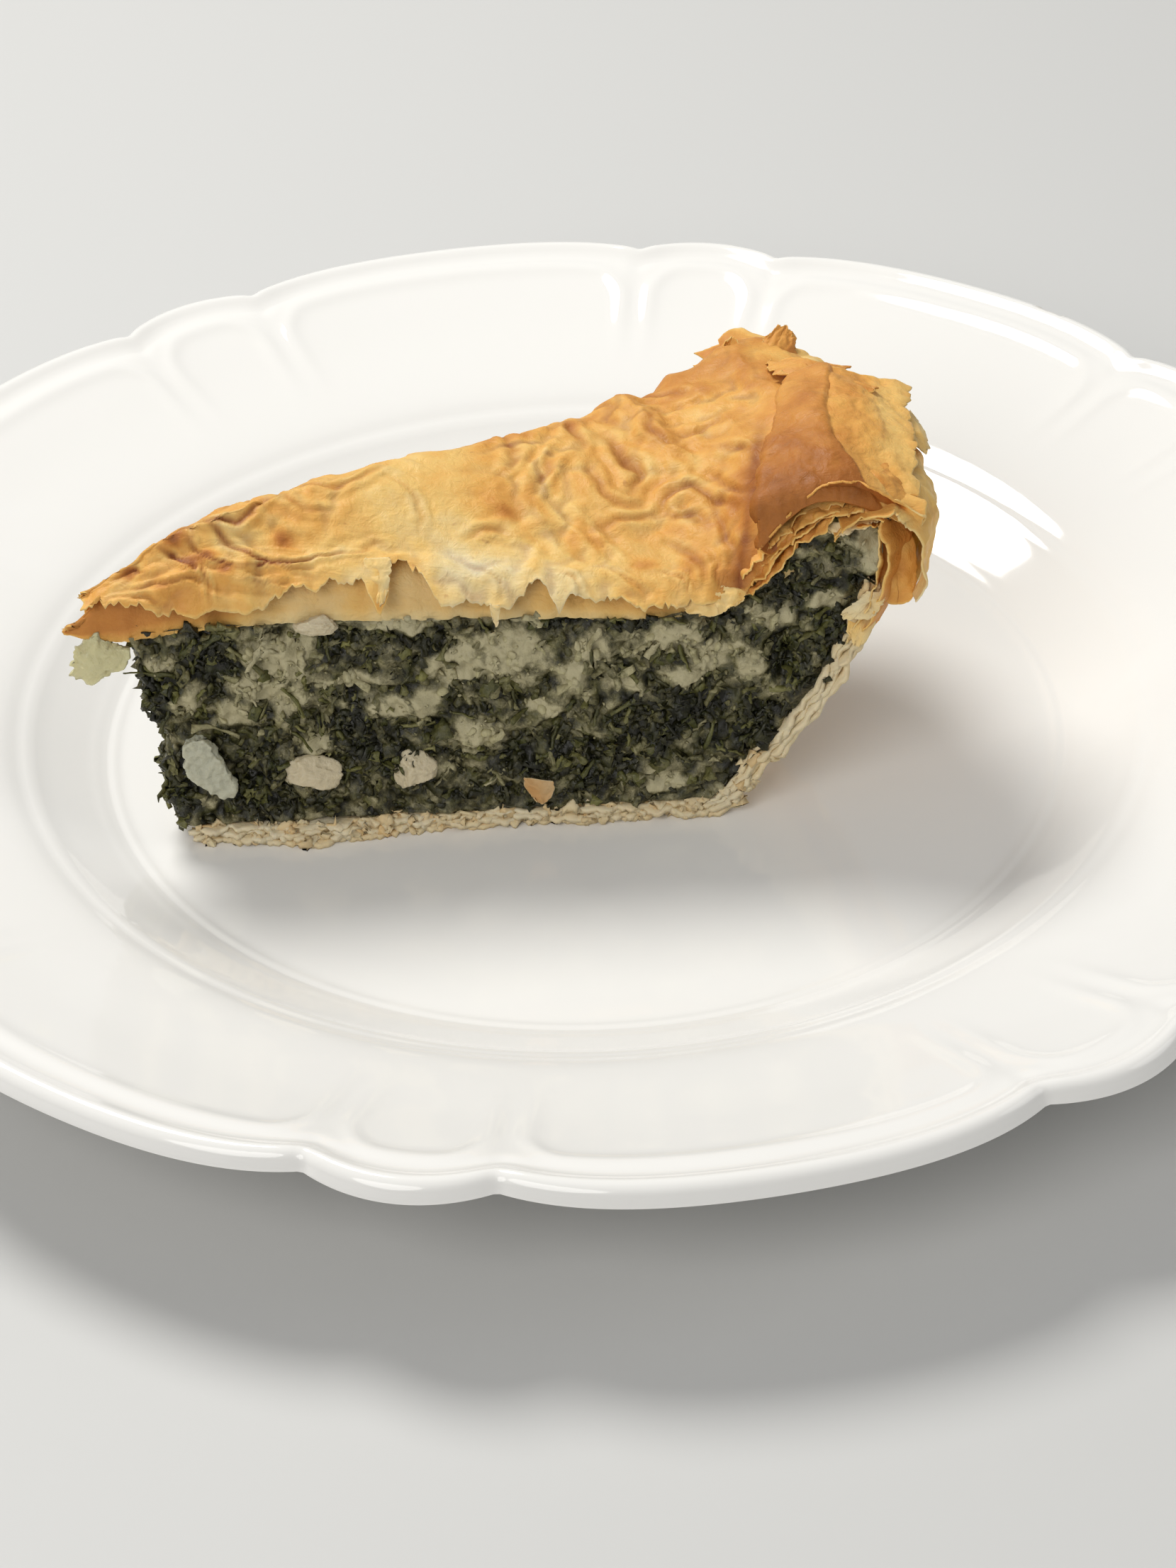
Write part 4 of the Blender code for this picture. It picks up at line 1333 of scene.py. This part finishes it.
def patches(kind, d, h):
    warpD = d + 1.8 * grain(d, h, 3.6, 150.0)
    warpH = h + 1.5 * grain(d, h, 3.6, 151.0)
    most = 0.0
    for middle, level, along, up in filling[kind]:
        reach = ((warpD - middle) / along) ** 2 + ((warpH - level) / up) ** 2
        if reach < 3.0:
            most = max(most, math.exp(-(reach**1.5)))
    return most


def creamAt(d, h, t):
    # 0 where it is all chopped leaf, 1 where it is curd and egg
    if t < 5.0:
        told = patches("cream", d, h) - 0.9 * patches("dark", d, h)
    else:
        told = 0.9 * grain(d, h, 7.0, 160.0 + (3.0 if t > 20.0 else 0.0))
    mixed = noise.noise(Vector((d / 3.3, t / 3.3, h / 2.6 + 40.0)))
    fineMix = noise.noise(Vector((d / 1.3, t / 1.3, h / 1.1 + 50.0)))
    amount = 0.40 + 0.06 * smooth(55.0, 80.0, d) + 0.85 * told + 0.50 * mixed + 0.18 * fineMix
    return min(1.0, max(0.0, amount))


def fillingShape(u, v, w):
    start = filling["start"]
    topDistance = start + u * (pie["fillingTop"][-1][0] - start)
    risen = read(pie["backRise"], topDistance) * smooth(0.0, 1.0, v)
    top = read(pie["fillingTop"], topDistance) + 0.2 + filling["backLift"] * risen
    h = mix(pie["baseThickness"] + 0.2, top, w)
    tip = byHeight(pie["fillingTip"], h)
    radius = mix(tip, byHeight(pie["fillingSide"], h), u)
    width = arcWidth(radius)
    return radius, v, h, radius * math.cos(opening * v), v * width


def makeFilling():
    block = gridBlock(*filling["cuts"])
    cream = block.verts.layers.float.new("cream")
    leaf = block.verts.layers.float.new("leaf")
    spots = []
    for vert in block.verts:
        radius, share, h, d, t = fillingShape(*vert.co)
        inside = vert.co.z > 0.999 or vert.co.z < 0.001 or vert.co.x > 0.999
        vert.co = polar(radius, share, rimLevel(radius, share, h))
        spots.append((d, t, h, inside))
    block.normal_update()
    normals = [vert.normal.copy() for vert in block.verts]
    curd, reach = filling["curds"]
    clump, swell = filling["clumps"]
    for vert, normal, (d, t, h, inside) in zip(block.verts, normals, spots):
        where = Vector((d, t, h))
        depth = 0.0
        for size, deep in filling["lumps"]:
            depth += deep * noise.noise(where / size + Vector((size, 7.0, 3.0)))
        pale = creamAt(d, h, t)
        lumpy = noise.voronoi(where / curd)[0][0]
        depth += pale * (0.7 + reach * (0.55 - lumpy)) - 0.3
        depth += swell * (1.0 - pale) * (0.45 - noise.voronoi(where / clump + Vector((0.0, 0.0, 9.0)))[0][0])
        if t < 5.0:
            for middle, level, along, up, deep in filling["holes"]:
                depth -= deep * bell(d, middle, along) * bell(h, level, up)
        vert.co += normal * (depth - 0.6) * (0.3 if inside else 1.0) * mm
        vert[cream] = pale
        vert[leaf] = max(0.0, grain(d, h + t, 2.2, 155.0)) * (1.0 - pale)
    return finishPiece("fillingCore", block, spinachAndCurd, ["filling"])


def cutFaces(piece, side):
    # middles, outward directions, areas and paleness of the faces that show on one cut
    mesh = piece.data
    count = len(mesh.polygons)
    middles, normals, areas = np.zeros(count * 3), np.zeros(count * 3), np.zeros(count)
    mesh.polygons.foreach_get("center", middles)
    mesh.polygons.foreach_get("normal", normals)
    mesh.polygons.foreach_get("area", areas)
    middles, normals = middles.reshape(-1, 3), normals.reshape(-1, 3)
    values = np.zeros(len(mesh.vertices))
    mesh.attributes["cream"].data.foreach_get("value", values)
    corners = np.array([face.vertices[0] for face in mesh.polygons])
    outward = -acrossDirection(0.0) if side == "front" else acrossDirection(1.0)
    apex = np.array(polar(0.0, 0.5, 0.0))
    away = middles - apex
    turn = (np.arctan2(away[:, 1], away[:, 0]) - wedge["frontCut"]) / opening
    near = turn < 0.5 if side == "front" else turn >= 0.5
    facing = normals @ np.array(outward) > 0.35
    tip = (normals @ np.array(-alongCut) > 0.3) & (np.hypot(away[:, 0], away[:, 1]) < 14 * mm)
    shown = near & (facing | tip) & (np.abs(normals[:, 2]) < 0.9)
    return middles[shown], normals[shown], areas[shown], values[corners[shown]]


def scatterBits(template, spots, normals, spec, rng):
    # copies of one small template, each turned, bent and shaken, as joined vertices and faces
    corners = np.array([vert.co[:] for vert in template.verts])
    corners -= 0.5 * (corners.max(axis=0) + corners.min(axis=0))
    faces = [[vert.index for vert in face.verts] for face in template.faces]
    count = len(spots)
    sizes = np.array(spec["size"]) * np.exp(rng.normal(0.0, 0.32, (count, 3)))
    bits = corners[None] * sizes[:, None]
    bend = rng.normal(0.0, spec["bend"], (count, 2))
    bits[:, :, 2] += bend[:, :1] * bits[:, :, 0] ** 2 + 2.0 * bend[:, 1:] * bits[:, :, 0] * bits[:, :, 1]
    columns = np.unique(np.round(corners[:, :2], 4), axis=0, return_inverse=True)[1].ravel()
    shake = rng.normal(0.0, spec["shake"], (count, columns.max() + 1, 3))
    bits += shake[:, columns]
    around = rng.normal(0.0, 1.0, (count, 3))
    up = normals + rng.normal(0.0, spec["tilt"], (count, 3))
    up /= np.linalg.norm(up, axis=1)[:, None]
    along = np.cross(up, around)
    along /= np.linalg.norm(along, axis=1)[:, None]
    across = np.cross(up, along)
    moved = bits[:, :, :1] * along[:, None] + bits[:, :, 1:2] * across[:, None] + bits[:, :, 2:] * up[:, None]
    moved = moved * mm + spots[:, None]
    size = len(corners)
    shifted = [[corner + i * size for corner in face] for i in range(count) for face in faces]
    return moved.reshape(-1, 3), shifted, size


def bitsPiece(name, parts, material):
    # parts: vertices, faces and the values kept on each vertex
    mesh = bpy.data.meshes.new(name)
    places, faces = [], []
    start = 0
    for verts, shifted, _ in parts:
        places.append(verts)
        faces += [[corner + start for corner in face] for face in shifted]
        start += len(verts)
    mesh.from_pydata(np.concatenate(places).tolist(), [], faces)
    for key in parts[0][2]:
        values = np.concatenate([part[2][key] for part in parts])
        mesh.attributes.new(key, "FLOAT", "POINT").data.foreach_set("value", values)
    bm = bmesh.new()
    bm.from_mesh(mesh)
    bpy.data.meshes.remove(mesh)
    return finishPiece(name, bm, material)


def makeBits(core, side, seed):
    rng = np.random.default_rng(seed)
    middles, normals, areas, pale = cutFaces(core, side)
    chance = areas / areas.sum()
    apex = np.array(polar(0.0, 0.5, 0.0))
    levels = (middles[:, 2] - apex[2]) / mm
    radii = np.hypot(middles[:, 0] - apex[0], middles[:, 1] - apex[1]) / mm
    ends = np.array([byHeight(pie["fillingSide"], h) for h in levels])
    clear = np.clip((levels - 7.0) / 2.0, 0.0, 1.0) * np.clip((ends - 4.0 - radii) / 2.0, 0.0, 1.0)
    parts = []
    tiny, plump = bmesh.new(), bmesh.new()
    bmesh.ops.create_icosphere(tiny, subdivisions=1, radius=0.5)
    bmesh.ops.create_icosphere(plump, subdivisions=2, radius=0.5)
    for kind, template, liking in (
        ("shreds", gridBlock(2, 1, 0), np.clip(0.95 - 1.75 * pale, 0.012, 1.0)),
        ("curdLumps", plump, np.clip(pale - 0.35, 0.0, 1.0) ** 1.5),
        ("crumbs", tiny, 1.0 - 0.6 * np.clip(pale, 0.0, 1.0)),
        ("stems", gridBlock(5, 0, 0), np.clip(1.2 - pale, 0.1, 1.0) * clear),
        ("wisps", gridBlock(5, 0, 0), (0.15 + np.clip(pale, 0.0, 0.6)) * clear),
        ("leaves", gridBlock(4, 2, 0), np.clip(1.0 - pale, 0.05, 1.0) * clear),
    ):
        spec = dict(zip(("count", "size", "tilt", "bend", "shake", "proud"), filling["bits"][kind]))
        count = spec["count"]
        picked = rng.choice(len(chance), count, p=chance * liking / (chance * liking).sum())
        spots, facing, below = middles[picked], normals[picked], pale[picked]
        spots = spots + facing * (spec["proud"] + rng.normal(0.0, 0.2, (count, 1))) * mm
        if kind == "leaves" and side == "front":
            given = np.array([place(*spot) for spot in filling["sprigs"]])
            spots[: len(given)] = given
        verts, faces, size = scatterBits(template, spots, facing, spec, rng)
        if kind == "shreds":
            tone = 0.03 + rng.beta(1.3, 2.4, count) * 0.50 + 0.42 * below
            bright = rng.random(count) < 0.22
            green = np.where(bright, rng.uniform(0.3, 1.0, count), rng.uniform(0.0, 0.2, count))
        elif kind == "wisps":
            tone = below * 0.5 + rng.uniform(0.25, 0.5, count)
            green = rng.uniform(0.0, 0.3, count)
        elif kind in ("stems", "leaves"):
            tone = rng.uniform(0.2, 0.55, count)
            green = rng.uniform(0.4, 0.9, count)
        else:
            tone = below + rng.normal(0.06, 0.12, count)
            green = rng.uniform(0.0, 0.25, count)
        values = {"cream": np.repeat(np.clip(tone, 0.0, 1.0), size), "leaf": np.repeat(green, size)}
        parts.append((verts, faces, values))
        if kind == "shreds":
            bitsPiece(side + "Shreds", parts, spinachAndCurd)
            parts = []
    bitsPiece(side + "Crumbs", parts, spinachAndCurd)


def makeFetaLumps():
    # the larger lumps of feta that the front cut went past
    rng = np.random.default_rng(217)
    joined = bmesh.new()
    for d, t, h, along, up, thick in filling["feta"]:
        sides = []
        for _ in range(filling["facets"]):
            facing = Vector(rng.normal(0.0, 1.0, 3)).normalized()
            sides.append(facing / rng.uniform(0.34, 0.50))
        lump = bmesh.new()
        bmesh.ops.create_icosphere(lump, subdivisions=5, radius=0.5)
        for vert in lump.verts:
            way = vert.co.normalized()
            reach = min(1.0 / max(way.dot(side), 1.8) for side in sides)
            reach += 0.050 * noise.noise(way * 2.6 + Vector((d, h, 0.0)))
            reach += 0.034 * noise.noise(way * 6.5 + Vector((h, d, 1.0)))
            x, y, z = way * reach
            vert.co = place(d + x * along, t + y * thick, h + z * up)
        joined = joinInto(joined, lump)
    finishPiece("fetaLumps", joined, fetaPaste)


def makeChip():
    # a flat angular flake that stands on the cut
    c = filling["chip"]
    bm = bmesh.new()
    bm.faces.new([bm.verts.new(place(d, c["back"], h)) for d, h in c["outline"]])
    grown = bmesh.ops.extrude_face_region(bm, geom=bm.faces[:])["geom"]
    moved = [part for part in grown if isinstance(part, bmesh.types.BMVert)]
    bmesh.ops.translate(bm, verts=moved, vec=-backward * c["thick"] * mm)
    bmesh.ops.recalc_face_normals(bm, faces=bm.faces)
    bmesh.ops.bevel(
        bm, geom=bm.edges[:], offset=0.2 * mm, segments=2, profile=0.5, affect="EDGES",
        offset_type="OFFSET", material=-1,
    )
    bmesh.ops.triangulate(bm, faces=bm.faces)
    for _ in range(5):
        longEdges = [edge for edge in bm.edges if edge.calc_length() > c["grain"] * mm]
        bmesh.ops.subdivide_edges(bm, edges=longEdges, cuts=1, use_grid_fill=True)
        bmesh.ops.triangulate(bm, faces=bm.faces)
    bm.normal_update()
    for vert in bm.verts:
        where = vert.co / mm
        depth = sum(deep * noise.noise(where / size) for size, deep in c["crumbly"])
        vert.co += vert.normal * depth * mm
    finishPiece("fetaChip", bm, chipPaste, ["feta_chip"])


def makeCurd():
    c = filling["curd"]
    bm = bmesh.new()
    bmesh.ops.create_icosphere(bm, subdivisions=5, radius=1.0)
    for vert in bm.verts:
        way = vert.co.copy()
        angle = math.atan2(way.z, way.x)
        rim = math.hypot(way.x, way.z)
        reach = read(c["outline"], math.degrees(angle))
        reach *= 1.0 + 0.13 * rim * (2.0 * shards(math.degrees(angle) / 12.0, 3.2, 201.0) - 1.0)
        reach *= 1.0 + 0.08 * rim * (2.0 * shards(math.degrees(angle) / 12.0, 1.0, 202.0) - 1.0)
        bumps = 0.30 * noise.noise(way * 2.2) + 0.16 * noise.noise(way * 6.0)
        x, z = way.x * reach, way.z * reach
        y = way.y * c["thick"] * (0.75 + bumps) + 0.8 * noise.noise(way * 1.4 + Vector((4.0, 2.0, 0.0)))
        vert.co = place(c["middle"][0] + x, c["middle"][1] + y, c["middle"][2] + z)
    finishPiece("curdScrap", bm, curdPaste, ["tip_curd"])


cheeses = {  # dark and light of the colour, and how far light goes in (m)
    "feta": ((0.57, 0.49, 0.33), (0.89, 0.81, 0.61), 0.0018),
    "fetaFlake": ((0.44, 0.435, 0.33), (0.78, 0.77, 0.63), 0.0024),
    "greenCurd": ((0.56, 0.52, 0.29), (0.84, 0.78, 0.52), 0.0026),
}


def pasteMaterial(name):
    # wet white cheese: cloudy, a little translucent, pitted
    dark, light, depth = cheeses[name]
    material, tree, shader = newMaterial(name)
    where = addNode(tree, "TexCoord").outputs["Object"]
    tone = ramp(tree, mottled(tree, 260.0, 0.5), [(0.25, dark), (0.75, light)])
    tree.links.new(tone, shader.inputs["Base Color"])
    shader.inputs["Subsurface Weight"].default_value = 0.35
    shader.inputs["Subsurface Radius"].default_value = (1.0, 0.85, 0.6)
    shader.inputs["Subsurface Scale"].default_value = depth
    gloss = noiseNode(tree, where, 500.0, 3.0, 0.6).outputs["Fac"]
    tree.links.new(ramp(tree, gloss, [(0.35, (0.26,)), (0.65, (0.45,))]), shader.inputs["Roughness"])
    pits = noiseNode(tree, where, 900.0, 4.0, 0.65).outputs["Fac"]
    bump = addNode(tree, "Bump", {"Height": pits, "Strength": 0.7, "Distance": 0.0005})
    tree.links.new(bump.outputs["Normal"], shader.inputs["Normal"])
    return material


fillingLook = {
    "specks": ((250.0, 2.0, 0.6, 0.80), (700.0, 3.0, 1.2, 0.70), (1500.0, 3.0, 2.0, 0.40)),  # scale ... share
    "leafToCurd": (
        (0.06, (0.008, 0.0078, 0.0035)), (0.28, (0.021, 0.020, 0.008)), (0.46, (0.085, 0.077, 0.034)),
        (0.64, (0.205, 0.183, 0.098)), (0.90, (0.44, 0.395, 0.24)),
    ),
    "freshLeaf": ((0.0, (0.045, 0.050, 0.012)), (0.6, (0.20, 0.19, 0.055)), (1.0, (0.42, 0.40, 0.16))),
    "roughness": (0.30, 0.48),  # of the leaf and of the curd
    "specular": 0.36,
}


def fillingMaterial():
    look = fillingLook
    material, tree, shader = newMaterial("spinachFilling")
    where = addNode(tree, "TexCoord").outputs["Object"]
    cream = addNode(tree, "Attribute", attribute_name="cream").outputs["Fac"]
    leaf = addNode(tree, "Attribute", attribute_name="leaf").outputs["Fac"]
    amount = maths(tree, "SUBTRACT", cream, 0.02)
    for scale, detail, distort, share in look["specks"]:
        speck = noiseNode(tree, where, scale, detail, 0.6, distort).outputs["Fac"]
        amount = maths(tree, "MULTIPLY_ADD", maths(tree, "SUBTRACT", speck, 0.5), share, amount)
    amount = maths(tree, "MAXIMUM", maths(tree, "MINIMUM", amount, 1.0), 0.0)
    pale = ramp(tree, amount, look["leafToCurd"], smoothly=False)
    olive = ramp(tree, amount, look["freshLeaf"], smoothly=False)
    tinted = overlaid(tree, leaf, pale, olive)
    tree.links.new(tinted, shader.inputs["Base Color"])
    shader.inputs["Specular IOR Level"].default_value = look["specular"]
    shader.inputs["Subsurface Weight"].default_value = 0.06
    shader.inputs["Subsurface Radius"].default_value = (1.0, 0.8, 0.5)
    shader.inputs["Subsurface Scale"].default_value = 0.0015
    leafRough, curdRough = look["roughness"]
    wet = ramp(tree, amount, [(0.1, (leafRough,)), (0.9, (curdRough,))])
    tree.links.new(wet, shader.inputs["Roughness"])
    fine = noiseNode(tree, where, 1500.0, 4.0, 0.6).outputs["Fac"]
    bump = addNode(tree, "Bump", {"Height": fine, "Strength": 0.5, "Distance": 0.0005})
    tree.links.new(bump.outputs["Normal"], shader.inputs["Normal"])
    return material


# crust materials
toasted = (
    (0.78, 0.665, 0.43), (0.80, 0.60, 0.29), (0.82, 0.515, 0.165), (0.76, 0.385, 0.092), (0.60, 0.255, 0.054),
    (0.42, 0.15, 0.028), (0.22, 0.070, 0.016),
)
steamed = (
    (0.74, 0.65, 0.46), (0.71, 0.57, 0.34), (0.70, 0.48, 0.23), (0.66, 0.37, 0.13), (0.54, 0.25, 0.065),
    (0.40, 0.15, 0.035), (0.22, 0.070, 0.016),
)


crustLook = {
    "shadeSteps": (0.0, 0.16, 0.32, 0.48, 0.64, 0.80, 1.0),
    # dark brown used for painted shade in folds and under layers, and for real browning
    "shadeAndBrownTone": (0.25, 0.075, 0.018),
    "spotted": (0.36, 0.15, 0.05),
    "roughness": (0.46, 0.64),
    "specular": 0.26,
    "lightIn": 0.12,  # share of the light that goes in and out again
    "bump": 0.42,
}


def crustMaterial(name, shades):
    # shades: the colours from raw to burnt
    look = crustLook
    material, tree, shader = newMaterial(name)
    where = addNode(tree, "TexCoord").outputs["Object"]
    toast = addNode(tree, "Attribute", attribute_name="toast").outputs["Fac"]
    shadeAndBrowning = addNode(tree, "Attribute", attribute_name="shadeAndBrowning").outputs["Fac"]
    cloud = maths(tree, "MULTIPLY", mottled(tree, 150.0, 0.35), 0.10)
    level = maths(tree, "ADD", toast, cloud, clamp=True)
    colour = ramp(tree, level, list(zip(look["shadeSteps"], shades)), smoothly=False)
    # the dark brown mixed in here is partly painted shade in folds, hollows and under other layers, and
    # partly real browning
    dark = overlaid(tree, maths(tree, "MULTIPLY", shadeAndBrowning, 0.9, clamp=True), colour, look["shadeAndBrownTone"])
    spots = noiseNode(tree, where, 520.0, 2.0, 0.5).outputs["Fac"]
    spotted = ramp(tree, spots, [(0.68, (0.0,)), (0.80, (0.45,))])
    dark = overlaid(tree, spotted, dark, look["spotted"])
    tree.links.new(dark, shader.inputs["Base Color"])
    gloss = noiseNode(tree, where, 260.0, 4.0, 0.6).outputs["Fac"]
    smoothest, roughest = look["roughness"]
    rough = ramp(tree, gloss, [(0.35, (smoothest,)), (0.65, (roughest,))])
    tree.links.new(rough, shader.inputs["Roughness"])
    shader.inputs["Specular IOR Level"].default_value = look["specular"]
    shader.inputs["Subsurface Weight"].default_value = look["lightIn"]
    shader.inputs["Subsurface Radius"].default_value = (1.0, 0.55, 0.25)
    shader.inputs["Subsurface Scale"].default_value = 0.002
    fine = noiseNode(tree, where, 1100.0, 4.0, 0.6).outputs["Fac"]
    turned = {"Vector": where, "Rotation": (0.0, 0.0, 0.6), "Scale": (300.0, 2600.0, 800.0)}
    streaks = addNode(tree, "Mapping", turned)
    fibre = noiseNode(tree, streaks.outputs["Vector"], 1.0, 2.0, 0.5).outputs["Fac"]
    blister = noiseNode(tree, where, 430.0, 3.0, 0.6, 1.2).outputs["Fac"]
    height = maths(tree, "ADD", maths(tree, "MULTIPLY", fine, 0.7), maths(tree, "MULTIPLY", fibre, 0.5))
    height = maths(tree, "MULTIPLY_ADD", blister, 1.6, height)
    bump = addNode(tree, "Bump", {"Height": height, "Strength": look["bump"], "Distance": 0.0004})
    tree.links.new(bump.outputs["Normal"], shader.inputs["Normal"])
    return material


# the making, piece by piece
makeCamera()
makeLights()
makeFloor()
print("studio made")
crust = crustMaterial("toastedPhyllo", toasted)
paleCrust = crustMaterial("steamedPhyllo", steamed)
makePlate()
sheetField = crumpledSheet()
softField = blurred(sheetField, 1)
bendField = softField - blurred(softField, 12)
bendField /= bendField.std()
print("sheet crumpled")
makeTopSheet()
makeUnderSheets()
makeFlap()
makeRolledLayers()
makeWraps()
makeFlakes("frontFlakes", "front", crust)
makeFlakes("rimFlakes", "rim", crust)
makeFlakes("crustCrumb", "crumb", paleCrust)
print("crust made")
makeBase()
makeBaseBits()
print("base made")
spinachAndCurd = fillingMaterial()
fetaPaste = pasteMaterial("feta")
chipPaste = pasteMaterial("fetaFlake")
curdPaste = pasteMaterial("greenCurd")
core = makeFilling()
makeBits(core, "front", 21)
makeBits(core, "back", 22)
makeFetaLumps()
makeChip()
makeCurd()
print("filling made")

bpy.context.view_layer.update()
